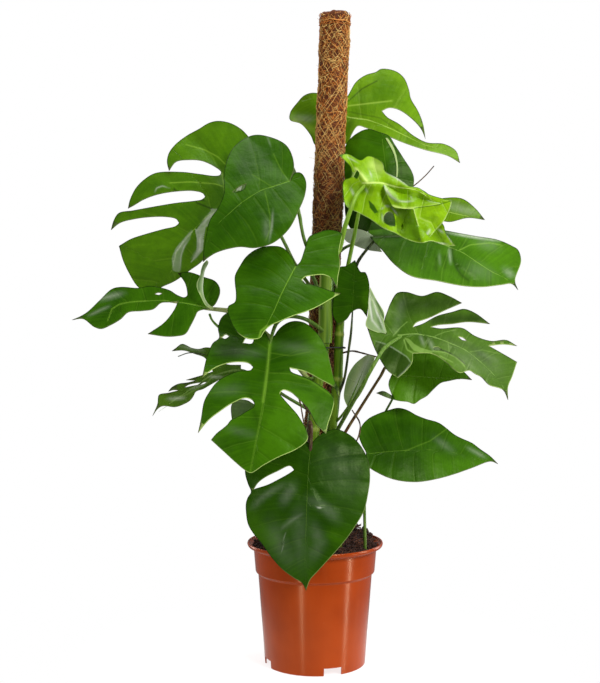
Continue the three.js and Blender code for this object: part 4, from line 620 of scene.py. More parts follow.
def upper_finish(tone):
    deep, fresh, pale = LEAF_TONES[tone]
    new = tone == "new"
    shade = ink(40, 84, 4) if new else SHADE
    finish = Finish(f"leaf_upper_{tone}", roughness=0.3, specular_ior_level=0.11 if tone == "dark" else 0.19,
                    specular_tint=(0.78, 1, 0.45, 1))
    cloud, mottle = finish.grains(0.045), finish.grains(0.012, 4, None, 0.6)
    off, lines, rib, margin, along_veins = vein_marks(finish, cloud)
    stripes = finish.grains(1.0, 3, along_veins, 0.6)
    inward = finish.attribute("edge").step(0, 26)
    freshness = cloud.step(0.3, 0.74) * 0.42 + (1 - inward) * 0.25 + stripes.step(0.3, 0.8) * 0.32
    colour = finish.coats(
        deep,
        # Livelier green, which the fresh marks also lay as painted light where the blade is lit.
        (freshness + finish.attribute("fresh"), fresh),
        (mottle.step(0.4, 0.76) * 0.15 + 0.05, shade),
        # Darker beside the side veins: painted shade in their furrows.
        ((1 - off.step(0.03, 0.16)) * 0.1, shade),
        (lines * (0.3 if new else 0.13), pale),
        (rib * (0.75 if new else 0.55), pale),
        # The margin is painted pale where it faces down and right, a painted highlight, and dark elsewhere, a
        # painted shade.
        (margin * 0.85, finish.blend(finish.attribute("lit"), shade, ink(188, 214, 118))),
        (finish.attribute("shade"), shade),
        (finish.attribute("pale"), pale),
        (finish.attribute("dry") * 0.8, ink(46, 34, 10)),
        # Painted glare: whitish highlights and reflections laid over the blade.
        (finish.attribute("bloom") * (0.7 + mottle.step(0.35, 0.65) * 0.3), GLARE))
    height = off.step(0.0, 0.12) * (0.9 if new else 0.6) + stripes * 0.5 + finish.grains(0.0006, 2) * 0.04
    height = height - rib * 0.5 + finish.grains(0.028) * (9.0 if new else 4.0)
    return finish.paint(colour, 0.2 + 0.16 * cloud + 0.1 * stripes, height, 0.0005, 0.9)


def under_finish(tone):
    fresh = LEAF_TONES[tone][1]
    wax = ink(146, 172, 116) if tone != "new" else ink(176, 212, 90)
    silver = ink(196, 212, 150)
    finish = Finish(f"leaf_under_{tone}", roughness=0.55, specular_ior_level=0.25)
    cloud = finish.grains(0.04)
    _, lines, rib, margin, along_veins = vein_marks(finish, cloud)
    colour = finish.coats(
        finish.blend(0.35, wax, fresh),
        (cloud.step(0.3, 0.7) * 0.5 + 0.25, wax),
        (lines * 0.6, silver),
        (rib * 0.9, ink(184, 206, 130)),
        (margin * 0.6, ink(190, 210, 130)),
        (finish.attribute("shade"), ink(58, 96, 18)),
        (finish.attribute("pale"), silver),
        # Painted glare: whitish highlights and reflections laid over the lower face.
        (finish.attribute("bloom") * finish.grains(1.0, 3, along_veins).step(0.2, 0.5), GLARE))
    height = lines * 0.8 + finish.grains(0.0008, 2) * 0.2
    return finish.paint(colour, 0.5 + 0.15 * cloud, height, 0.0005, 0.8)


STALK_TONES = {  # by the soil or stem, and by the blade
    "green": (ink(70, 104, 16), ink(98, 146, 28)),
    "pale": (ink(150, 162, 92), ink(168, 182, 110)),
    "lime": (ink(112, 158, 30), ink(160, 206, 52)),
    "purple": (ink(64, 34, 26), ink(78, 44, 28)),
    "brown": (ink(92, 48, 22), ink(104, 86, 34)),
    "dark": (ink(30, 34, 12), ink(48, 78, 18)),
}


def stalk_finish(tone):
    low, high = STALK_TONES[tone]
    finish = Finish(f"stalk_{tone}", roughness=0.42, specular_ior_level=0.3)
    run = finish.attribute("run")
    streaks = finish.grains(1.0, 3, finish.stretched(420, 420, 26))
    specks = finish.grains(0.0035, 2)
    straw = finish.blend(0.5, high, ink(190, 200, 120))
    colour = finish.coats(low, (run, high), (streaks.step(0.4, 0.7) * 0.4, straw),
                          (specks.step(0.6, 0.75) * 0.3, low))
    return finish.paint(colour, 0.36 + 0.14 * streaks, streaks + specks * 0.5, 0.0003, 0.6)


def stem_finish():
    finish = Finish("climbing_stem", roughness=0.45, specular_ior_level=0.2)
    ring, band = finish.attribute("ring"), finish.attribute("run")
    streaks = finish.grains(1.0, 4, finish.stretched(260, 260, 14), 0.6)
    patches = finish.grains(0.03)
    brown = (1 - band.step(0.1, 0.5)) * 0.5 + patches.step(0.62, 0.72) * 0.4
    colour = finish.coats(
        ink(74, 112, 14),
        (streaks.step(0.35, 0.7) * 0.7, ink(126, 158, 34)),
        (patches.step(0.5, 0.7) * 0.5, ink(160, 178, 64)),
        (brown, ink(74, 46, 18)),
        (ring * 0.7, ink(172, 182, 84)))
    grain = finish.grains(0.0016)
    return finish.paint(colour, 0.3 + 0.15 * streaks, streaks * 0.5 + grain * 0.4 + ring, 0.0005, 0.6)


def sheath_finish():
    finish = Finish("leaf_sheath", roughness=0.35)
    edge = finish.attribute("edge")
    streaks = finish.grains(1.0, 3, finish.stretched(120, 120, 5))
    colour = finish.coats(ink(72, 112, 18), (streaks.step(0.35, 0.7), ink(124, 156, 44)),
                          (1 - edge.step(0.0, 0.2), ink(186, 194, 104)))
    return finish.paint(colour, 0.28 + 0.1 * streaks, streaks * 0.5, 0.0004, 0.5)


def root_finish():
    finish = Finish("aerial_root", roughness=0.8)
    streaks = finish.grains(0.004)
    colour = finish.blend(streaks.step(0.35, 0.65), ink(54, 36, 24), ink(112, 82, 54))
    return finish.paint(colour, 0.7 + 0.2 * streaks, streaks, 0.0006, 1.0)


def pot_finish():
    finish = Finish("terracotta_plastic", roughness=0.2, specular_ior_level=0.5,
                    specular_tint=(1, 0.7, 0.4, 1))
    turned = finish.grains(1.0, 2, finish.stretched(60, 60, 3))
    cloud = finish.grains(0.06, 2)
    dust = finish.grains(0.0022)
    colour = finish.coats(
        ink(166, 57, 3),
        (cloud.step(0.3, 0.7), ink(179, 65, 7)),
        (turned.step(0.4, 0.7) * 0.2, ink(178, 74, 28)),
        (dust.step(0.64, 0.8) * 0.15, ink(196, 116, 76)))
    return finish.paint(colour, 0.15 + 0.06 * dust + 0.05 * cloud, turned * 0.5 + dust * 0.2, 0.0003, 0.25)


def soil_finish():
    finish = Finish("potting_soil", roughness=0.95)
    crumbs = finish.grains(0.004, 5, None, 0.7)
    wet = finish.grains(0.02)
    colour = finish.coats(ink(20, 8, 6), (crumbs.step(0.35, 0.7), ink(92, 50, 34)),
                          (wet.step(0.5, 0.7) * 0.5, ink(34, 16, 12)))
    return finish.paint(colour, 0.75 + 0.25 * crumbs, crumbs, 0.003, 1.0)


def fibre_finish(name, dark, middle, pale):
    """Coconut fibre: light at the top of the pole, darker lower down."""
    finish = Finish(name, roughness=0.85)
    tint = finish.attribute("tint")
    height = finish.node("ShaderNodeSeparateXYZ", {}, [finish.place], "Z")
    # Lighter above about 0.8 m up, darker below.
    dry = (height + 0.06 * finish.grains(0.02)).step(0.74, 0.87)
    strands = finish.grains(0.0012)
    colour = finish.coats(
        dark,
        (tint.step(0.0, 0.55), middle),
        (tint.step(0.5, 1.0), pale),
        ((1 - dry) * 0.5, ink(74, 38, 8)),
        (strands.step(0.55, 0.75) * 0.25, dark))
    return finish.paint(colour, 0.75 + 0.2 * strands, strands, 0.0006, 0.8)


def core_finish():
    finish = Finish("hidden_stake", roughness=0.8)
    streaks = finish.grains(1.0, 3, finish.stretched(200, 200, 8))
    colour = finish.blend(streaks, ink(60, 44, 30), ink(104, 80, 54))
    return finish.paint(colour, 0.7 + 0.2 * streaks, streaks)


def tie_finish():
    finish = Finish("soft_tie", roughness=0.6)
    ribs = finish.grains(0.0015, 2)
    return finish.paint(finish.blend(ribs, ink(10, 14, 8), ink(24, 30, 16)), 0.5 + 0.2 * ribs, ribs)


def floor_finish():
    """Pale near the pot and fading into the white room."""
    finish = Finish("pale_floor", roughness=0.8, emission_strength=0.6)
    cloud = finish.grains(0.4, 2)
    out = finish.node("ShaderNodeVectorMath", {"operation": "LENGTH"}, [finish.place], "Value")
    finish.feed(finish.shader.inputs["Alpha"], (1 - out.step(0.11, 0.4)) * 0.5)
    return finish.paint(finish.blend(cloud, ink(250, 250, 250), ink(253, 253, 253)), 0.75 + 0.1 * cloud)


# Lines and tubes
def on_sight(px, py, depth):
    """Points in mm that the front view shows at picture pixels, each at its own depth."""
    across = (np.asarray(px, float) - PICTURE[0] / 2) / FOCAL_PX
    rise = (PICTURE[1] / 2 - np.asarray(py, float)) / FOCAL_PX
    forward = math.cos(EYE_TILT) + rise * math.sin(EYE_TILT)
    up = rise * math.cos(EYE_TILT) - math.sin(EYE_TILT)
    ray = np.stack([across, forward, up], -1)
    return EYE + ray * ((np.asarray(depth, float) - EYE[1]) / forward)[..., None]


def smooth_line(points, step, closed=False, corner=math.inf):
    """A smooth line through points, cut about every step, with its corners past so many degrees kept."""
    points = np.asarray(points, float)
    count = len(points)
    pieces = []
    for i in range(count if closed else count - 1):
        first, second = points[i], points[(i + 1) % count]
        before = points[i - 1] if closed or i else 2 * first - second
        after = points[(i + 2) % count] if closed or i + 2 < count else 2 * second - first
        if turn_at(before, first, second) > corner:
            before = 2 * first - second
        if turn_at(first, second, after) > corner:
            after = 2 * second - first
        cuts = max(1, round(np.linalg.norm(second - first) / step))
        pieces.append(through(before, first, second, after, cuts))
    if not closed:
        pieces.append(points[-1:])
    return np.concatenate(pieces)


def traced_line(route, step):
    """A smooth line in mm through points given by pixel and depth."""
    return smooth_line(on_sight(*np.array(route, float).T), step)


def turn_at(a, b, c):
    """Degrees by which a line turns at its middle point."""
    along, onward = b - a, c - b
    cosine = along @ onward / max(np.linalg.norm(along) * np.linalg.norm(onward), 1e-9)
    return math.degrees(math.acos(np.clip(cosine, -1, 1)))


def through(a, b, c, d, cuts):
    """A centripetal curve from b to c, with a and d beyond its ends."""
    knots = np.cumsum([0] + [max(np.linalg.norm(q - p), 1e-6) ** 0.5 for p, q in ((a, b), (b, c), (c, d))])
    t = np.linspace(knots[1], knots[2], cuts, endpoint=False)[:, None]

    def between(p, q, low, high):
        return p + (q - p) * (t - low) / (high - low)

    first, second, third = (between(p, q, knots[i], knots[i + 1]) for i, (p, q) in
                            enumerate(((a, b), (b, c), (c, d))))
    near = between(first, second, knots[0], knots[2])
    far = between(second, third, knots[1], knots[3])
    return between(near, far, knots[1], knots[2])


def lengths_along(line):
    """How far along a line each of its points lies."""
    return np.concatenate([[0], np.cumsum(np.linalg.norm(np.diff(line, axis=0), axis=1))])


def evenly(line, step):
    """The same line with its points spread evenly."""
    lengths = lengths_along(line)
    cuts = max(2, round(lengths[-1] / step) + 1)
    spots = np.linspace(0, lengths[-1], cuts)
    return np.stack([np.interp(spots, lengths, line[:, k]) for k in range(line.shape[1])], 1)


def full_turn(cuts):
    """Angles spread evenly round."""
    return np.linspace(0, math.tau, cuts, endpoint=False)


def unevenness(spots):
    """Smooth noise, from about -1 to 1, at each place."""
    return np.array([noise.noise(Vector(spot)) for spot in spots])


def capped_rings(rows, sides):
    """Faces that join rings of points in rows and close both ends on the two points that follow them."""
    last, foot = (rows - 1) * sides, rows * sides
    around = [(i, (i + 1) % sides) for i in range(sides)]
    faces = [(k + i, k + j, k + sides + j, k + sides + i) for k in range(0, last, sides) for i, j in around]
    return faces + [(foot, j, i) for i, j in around] + [(foot + 1, last + i, last + j) for i, j in around]


def tube(line, radii, sides, squash=1.0):
    """Points, faces and share of the length of a closed round tube along a line, in mm."""
    line = np.asarray(line, float)
    radii = np.broadcast_to(radii, len(line))
    along = np.gradient(line, axis=0)
    along /= np.maximum(np.linalg.norm(along, axis=1), 1e-9)[:, None]
    side = np.cross(along[0], (0, 0, 1) if abs(along[0][2]) < 0.9 else (0, 1, 0))
    turns = full_turn(sides)[:, None]
    rings = []
    for spot, heading, radius in zip(line, along, radii):
        side = side - heading * (side @ heading)
        side = side / np.linalg.norm(side)
        other = np.cross(heading, side)
        rings.append(spot + radius * (np.cos(turns) * side + squash * np.sin(turns) * other))
    points = np.concatenate(rings + [line[:1], line[-1:]])
    lengths = lengths_along(line)
    run = np.concatenate([np.repeat(lengths / lengths[-1], sides), [0, 1]])
    return points, capped_rings(len(line), sides), run


class Heap:
    """Many small closed shapes gathered into one piece, each point with its own marks."""

    def __init__(self):
        self.points, self.faces, self.marks, self.count = [], [], {}, 0

    def add(self, points, faces, **marks):
        self.faces += [tuple(self.count + v for v in face) for face in faces]
        self.points.append(np.asarray(points))
        for name, values in marks.items():
            self.marks.setdefault(name, []).append(np.broadcast_to(values, len(points)))
        self.count += len(points)

    def lay(self, line, radii, sides, tint):
        """Adds a tube along a line, all of one tint."""
        points, faces, _ = tube(line, radii, sides)
        self.add(points, faces, tint=tint)

    def piece(self, name, material, smooth=True):
        marks = {key: np.concatenate(values) for key, values in self.marks.items()}
        return make_piece(name, np.concatenate(self.points), self.faces, [material], marks, smooth)


def make_piece(name, points_mm, faces, materials, marks, smooth=True):
    """An object from points and faces, with a number a point for each mark that its materials read."""
    mesh = bpy.data.meshes.new(name)
    mesh.from_pydata((np.asarray(points_mm) * MM).tolist(), [], faces)
    for key, values in marks.items():
        mesh.attributes.new(key, "FLOAT", "POINT").data.foreach_set("value", np.asarray(values, np.float32))
    for material in materials:
        mesh.materials.append(material)
    mesh.update()
    piece = bpy.data.objects.new(name, mesh)
    bpy.context.scene.collection.objects.link(piece)
    if smooth:
        mesh.shade_smooth()
    return piece


def pick(*objects):
    """Selects only these objects, the first one active."""
    bpy.ops.object.select_all(action="DESELECT")
    for chosen in objects:
        chosen.select_set(True)
    bpy.context.view_layer.objects.active = objects[0]


def finish_with(piece, kind, **settings):
    """Adds a modifier to a piece and applies it."""
    pick(piece)
    modifier = piece.modifiers.new(kind.title(), kind)
    for key, value in settings.items():
        setattr(modifier, key, value)
    bpy.ops.object.modifier_apply(modifier=modifier.name)


def smooth_to(piece, degrees):
    """Smooths a piece, but for the edges that turn by more."""
    pick(piece)
    bpy.ops.object.shade_smooth_by_angle(angle=math.radians(degrees))


def place_piece(piece, slot, *nodes):
    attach(piece, "root")
    if nodes:
        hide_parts(*nodes)
    return piece


# Leaves
def rib_of(leaf):
    return np.array(leaf.get("rib", [leaf["base"], leaf["tip"]]), float)


def rib_place(rib, x, y):
    """How far along a rib each pixel lies and how far aside of it, as shares of the rib's length, and on
    which side."""
    lengths = lengths_along(rib)
    spots = np.stack([x, y], -1)
    best = np.full(len(spots), np.inf)
    along, aside = np.zeros(len(spots)), np.zeros(len(spots))
    for k, (start, end) in enumerate(zip(rib[:-1], rib[1:])):
        heading = end - start
        reach = np.linalg.norm(heading)
        share = (spots - start) @ heading / reach**2
        low = -np.inf if k == 0 else 0
        high = np.inf if k == len(rib) - 2 else 1
        held = np.clip(share, low, high)
        off = spots - start - held[:, None] * heading
        distance = np.linalg.norm(off, axis=1)
        turn = heading[0] * off[:, 1] - heading[1] * off[:, 0]
        nearer = distance < best
        best = np.where(nearer, distance, best)
        along = np.where(nearer, lengths[k] + held * reach, along)
        aside = np.where(nearer, distance * np.sign(turn), aside)
    return along / lengths[-1], aside / lengths[-1]


def vein_count(leaf, along, aside):
    """Whole numbers on the side veins: they fan back at the base and lean forward to the tip."""
    out = np.abs(aside)
    foot = (along + 0.62 * out - 0.42 * out**2) / (1 + 1.35 * out)
    return foot * leaf["veins"] + np.where(aside > 0, 0.5, 0.08)


def off_stretch(spots, start, end):
    """How far each spot is from a straight stretch, and how far along it as a share of it."""
    heading = end - start
    share = np.clip((spots - start) @ heading / max(heading @ heading, 1e-9), 0, 1)
    return np.linalg.norm(spots - start - share[:, None] * heading, axis=1), share


def blade_forward(leaf, x, y):
    """How far forward of its base a blade lies at pixels, in mm."""
    dx, dy = x - leaf["base"][0], y - leaf["base"][1]
    rib_x, rib_y = leaf["tip"][0] - leaf["base"][0], leaf["tip"][1] - leaf["base"][1]
    long2 = rib_x**2 + rib_y**2
    along = np.clip((dx * rib_x + dy * rib_y) / long2, 0, 1)
    aside = np.abs(dx * rib_y - dy * rib_x) / long2
    forward = (leaf["lean"] * dy + leaf["turn"] * dx) * MM_PER_PX
    forward += leaf["arch"] * 4 * along * (1 - along)
    forward += leaf["fold"] * 2 * aside + leaf["curl"] * 4 * aside**2
    along, aside = rib_place(rib_of(leaf), x, y)
    swell = 2 * np.abs(np.sin(math.pi * vein_count(leaf, along, aside))) - 1
    forward += leaf["swell"] * leaf["wave"] * swell * np.minimum(1, 4 * np.abs(aside))
    crumple, reach = leaf["crumple"]
    forward += crumple * unevenness((px / reach, py / reach, 0.5) for px, py in zip(x, y))
    for start, end, height, width in leaf["creases"] + leaf["puckers"]:
        off, _ = off_stretch(np.stack([x, y], -1), np.array(start, float), np.array(end, float))
        forward += height * np.exp(-((off / width) ** 2))
    return forward


def painted(leaf, kind, spots):
    """How strongly the marks of one kind cover each pixel of a blade. Lines of painted glare fade to both
    ends.
    """
    cover = np.zeros(len(spots))
    for of_kind, width, strength, *line in leaf["marks"]:
        line = np.reshape(np.array(line, float), (-1, 2))
        if of_kind != kind:
            continue
        if not width:
            cover = np.where(inside(line, spots), np.maximum(cover, strength), cover)
            continue
        run = lengths_along(line)
        for start, end, before, after in zip(line[:-1], line[1:], run[:-1], run[1:]):
            off, share = off_stretch(spots, start, end)
            along = (before + share * (after - before)) / run[-1]
            fade = np.sin(math.pi * (0.04 + 0.92 * along)) ** 0.7 if kind == "bloom" else 1
            cover = np.maximum(cover, fade * strength * np.exp(-((off / width) ** 2)))
    return cover


def mark_spots(leaf):
    """Mesh points beside narrow marks and the edges of painted areas, for which the grid is too wide."""
    spots = [np.zeros((0, 2))]
    for _, width, _, *line in leaf["marks"]:
        if width > NARROW_MARK:
            continue
        line = np.reshape(np.array(line, float), (-1, 2))
        line = evenly(line if width else np.concatenate([line, line[:1]]), 2)
        along = np.gradient(line, axis=0)
        across = np.stack([-along[:, 1], along[:, 0]], -1) / np.linalg.norm(along, axis=1)[:, None]
        for aside in (-2, -1, 0, 1, 2) if width else (-0.5, 0.5):
            spots.append(line + across * aside * (width or 1))
    return np.concatenate(spots)


def sharp_points(outline):
    """The pointed outward corners of a blade."""
    line = np.asarray(outline, float)
    into, onward = line - np.roll(line, 1, 0), np.roll(line, -1, 0) - line
    way = into[:, 0] * onward[:, 1] - into[:, 1] * onward[:, 0]
    turn = np.arctan2(way, (into * onward).sum(1))
    return line[turn * math.copysign(1, turn.sum()) > math.radians(100)]


def blade_points(leaf, x, y):
    """The middle of a blade's thickness at pixels, in mm."""
    return on_sight(x, y, leaf["depth"] - blade_forward(leaf, x, y))


def inside(ring, spots):
    """Which spots lie inside a closed line."""
    within = np.zeros(len(spots), bool)
    for (ax, ay), (bx, by) in zip(ring, np.roll(ring, -1, 0)):
        crosses = (ay > spots[:, 1]) != (by > spots[:, 1])
        if ay != by:
            within ^= crosses & (spots[:, 0] < (bx - ax) * (spots[:, 1] - ay) / (by - ay) + ax)
    return within


def off_margin(rings, spots):
    """How many pixels off the nearest margin each spot is, and how far that margin looks down and right."""
    near, lit = np.full(len(spots), np.inf), np.zeros(len(spots))
    for k, ring in enumerate(rings):
        area = np.sum(ring[:, 0] * np.roll(ring[:, 1], -1) - ring[:, 1] * np.roll(ring[:, 0], -1))
        out = math.copysign(1, area) * (1 if k == 0 else -1)
        for start, end in zip(ring, np.roll(ring, -1, 0)):
            off, _ = off_stretch(spots, start, end)
            heading = end - start
            facing = out * (heading[1] * 0.5 - heading[0] * 0.87) / math.sqrt(max(heading @ heading, 1e-9))
            lit = np.where(off < near, facing, lit)
            near = np.minimum(near, off)
    return near, lit


def on_blade(rings, spots, clearance):
    """Which spots lie on a blade and so far in from its margins."""
    kept = inside(rings[0], spots)
    for hole in rings[1:]:
        kept &= ~inside(hole, spots)
    return kept & (off_margin(rings, spots)[0] > clearance)


def clear_of(taken, spots, gap):
    """The spots that lie more than a gap away from those taken."""
    if not (len(taken) and len(spots)):
        return spots
    return spots[np.linalg.norm(spots[:, None] - taken[None], axis=2).min(1) > gap]


def blade_net(leaf, rings, seed):
    """The pixels and triangles of a blade: its margins, its rib, its marks and a loose grid between them."""
    low, high = rings[0].min(0), rings[0].max(0)
    chance = np.random.default_rng(seed + round(low[0]))
    grid = np.meshgrid(np.arange(low[0], high[0], GRID_STEP), np.arange(low[1], high[1], GRID_STEP))
    grid = np.stack(grid, -1).reshape(-1, 2)
    grid = grid + chance.uniform(-0.5, 0.5, grid.shape)
    rib = evenly(smooth_line(rib_of(leaf), 3), RIB_STEP)[1:-1]
    rib = rib[on_blade(rings, rib, RIB_GAP)]
    marked = mark_spots(leaf)
    marked = marked[on_blade(rings, marked, MARK_GAP)]
    grid = clear_of(marked, clear_of(rib, grid, GRID_GAP), GRID_GAP)
    marked = clear_of(rib, marked, MARK_GAP)
    flat = np.concatenate(rings + [rib, marked, grid[on_blade(rings, grid, GRID_GAP)]])
    edges, start = [], 0
    for ring in rings:
        edges += [(start + i, start + (i + 1) % len(ring)) for i in range(len(ring))]
        start += len(ring)
    gaps = np.linalg.norm(np.diff(rib, axis=0), axis=1)
    edges += [(start + i, start + i + 1) for i, gap in enumerate(gaps) if gap < RIB_BREAK]
    flat, _, faces, *_ = geometry.delaunay_2d_cdt([Vector(p) for p in flat], edges, [], 0, 1e-4, False)
    flat, faces = np.array([tuple(p) for p in flat]), np.array(faces)
    faces = faces[on_blade(rings, flat[faces].mean(1), -1)]
    used, faces = np.unique(faces, return_inverse=True)
    return flat[used], faces.reshape(-1, 3)


def blade_marks(leaf, rings, flat):
    """What the leaf finishes read at each pixel of a blade."""
    rib = rib_of(leaf)
    along, aside = rib_place(rib, *flat.T)
    rib_length = lengths_along(rib)[-1] * MM_PER_PX
    rib_width = leaf["rib_width"] * np.interp(along, [0, 0.5, 1], [1.9, 1.2, 0.6])
    beyond = np.where(along < 0, -along * rib_length * 2, 0)
    edge, lit = off_margin(rings, flat)
    # lit is the share of the margin's painted highlight, from how far the margin faces down and right.
    marks = dict(vein=vein_count(leaf, along, aside), aside=np.abs(aside), edge=edge * MM_PER_PX,
                 lit=np.clip(1.8 * lit - 0.3, 0, 1) * leaf["rim"],
                 ribline=(np.abs(aside) * rib_length + beyond) / rib_width)
    marks |= {kind: painted(leaf, kind, flat) for kind in ("shade", "fresh", "pale", "bloom")}
    marks["shade"] = np.maximum(marks["shade"], leaf["shaded"])
    tips = [np.exp(-((np.linalg.norm(flat - tip, axis=1) / 3) ** 2)) for tip in sharp_points(leaf["outline"])]
    marks["dry"] = np.max(tips, axis=0) if tips and leaf["finish"] != "new" else np.zeros(len(flat))
    return marks


def blade_sheet(leaf, name, materials):
    """A blade as a sheet of even thickness, its upper face and its lower face with their own finish."""
    rings = [smooth_line(line, MARGIN_STEP, True, SHARP_CORNER) for line in [leaf["outline"], *leaf["holes"]]]
    flat, faces = blade_net(leaf, rings, len(name))
    points = blade_points(leaf, *flat.T)
    corners = points[faces]
    normals = np.cross(corners[:, 1] - corners[:, 0], corners[:, 2] - corners[:, 0])
    if normals[:, 1].sum() > 0:
        faces = faces[:, ::-1]
    piece = make_piece(name, points, faces.tolist(), materials, blade_marks(leaf, rings, flat))
    if leaf["under"]:
        piece.data.polygons.foreach_set("material_index", np.ones(len(faces), np.int32))
    finish_with(piece, "SOLIDIFY", thickness=BLADE_THICKNESS * MM, offset=0, use_even_offset=False,
                material_offset=-1 if leaf["under"] else 1)
    smooth_to(piece, 55)
    return piece


def stalk_tube(leaf, material):
    """The stalk, with its knuckle by the blade, running on behind the blade as a thinner and thinner rib."""
    radius, route = leaf["stalk"]
    stalk = traced_line(route, 6)
    rib = evenly(smooth_line(rib_of(leaf), 3), 4)
    shares = np.linspace(0, 1, len(rib))
    rib = rib[(shares > RIB_START) & (shares < RIB_END)]
    points = blade_points(leaf, *rib.T)
    right = blade_points(leaf, rib[:, 0] + 1, rib[:, 1]) - points
    down = blade_points(leaf, rib[:, 0], rib[:, 1] + 1) - points
    normals = np.cross(down, right)
    normals /= np.linalg.norm(normals, axis=1)[:, None]
    shares = np.linspace(RIB_START, RIB_END, len(rib))[:, None]
    sunk = radius * (1 - shares) ** 1.3 * 0.9 + 0.2
    ribline = points - normals * sunk * (-1 if leaf["under"] else 1)
    stalk_length = lengths_along(stalk)[-1]
    line = evenly(smooth_line(np.concatenate([stalk[::3], ribline]), 4), 3.5)
    lengths = lengths_along(line)
    on_stalk = lengths <= stalk_length
    share = np.clip((lengths - stalk_length) / max(lengths[-1] - stalk_length, 1), 0, 1)
    tip_radius = leaf["stalk_taper"] * radius
    radii = np.where(on_stalk, np.interp(lengths, [0, stalk_length], [radius * 1.15, tip_radius]),
                     tip_radius * (1 - share) ** 1.3 + 0.15)
    knuckle = np.exp(-(((lengths - stalk_length + KNUCKLE["before"]) / KNUCKLE["reach"]) ** 2))
    radii = radii * (1 + KNUCKLE["swell"] * knuckle)
    points, faces, run = tube(line, radii, 10)
    return make_piece(leaf["name"] + "_stalk", points, faces, [material], dict(run=run))


def merge(name, pieces):
    pick(*pieces)
    bpy.ops.object.join()
    whole = bpy.context.view_layer.objects.active
    whole.name = whole.data.name = name
    return whole


def make_leaf(leaf):
    leaf = USUAL_LEAF | leaf
    name, look = leaf["name"], leaf.get("look", leaf["finish"])
    skin = [finishes["upper_" + look], finishes["under_" + look]]
    parts = [blade_sheet(leaf, name + "_blade", skin)]
    for k, patch in enumerate(leaf["patches"]):
        patch = leaf | dict(holes=[], marks=[], shaded=0) | patch
        parts.append(blade_sheet(patch, f"{name}_flap{k}", skin))
    parts.append(stalk_tube(leaf, finishes["stalk_" + leaf["stalk_look"]]))
    for k, twig in enumerate(leaf["twigs"]):
        line = traced_line(twig["route"], 3)
        points, faces, run = tube(line, np.linspace(*twig["radius"], len(line)), 8)
        parts.append(make_piece(f"{name}_twig{k}", points, faces, [finishes[twig["look"]]], dict(run=run)))
    return place_piece(merge(name + "_grown", parts), "leaf_" + leaf["finish"], name)


# Pot
def turned_piece(name, outline, steps, material):
    """A closed outline of radius and height pairs, in mm, spun round the upright axis."""
    mesh = bpy.data.meshes.new(name)
    edges = [(i, (i + 1) % len(outline)) for i in range(len(outline))]
    mesh.from_pydata([(r * MM, 0, z * MM) for r, z in outline], edges, [])
    piece = bpy.data.objects.new(name, mesh)
    bpy.context.scene.collection.objects.link(piece)
    pick(piece)
    bpy.ops.object.mode_set(mode="EDIT")
    bpy.ops.mesh.select_all(action="SELECT")
    bpy.ops.mesh.spin(steps=steps, angle=math.tau, center=(0, 0, 0), axis=(0, 0, 1))
    bpy.ops.mesh.select_all(action="SELECT")
    bpy.ops.mesh.remove_doubles(threshold=1e-6)
    bpy.ops.mesh.normals_make_consistent(inside=False)
    bpy.ops.object.mode_set(mode="OBJECT")
    mesh.materials.append(material)
    return piece


def round_corner(before, corner, after, radius, cuts=4):
    """The corner of an outline, cut back by a radius and rounded."""
    before, corner, after = (np.array(p, float) for p in (before, corner, after))
    start = corner + (before - corner) / np.linalg.norm(before - corner) * radius
    end = corner + (after - corner) / np.linalg.norm(after - corner) * radius
    t = np.linspace(0, 1, cuts + 1)[:, None]
    return (1 - t) ** 2 * start + 2 * t * (1 - t) * corner + t**2 * end


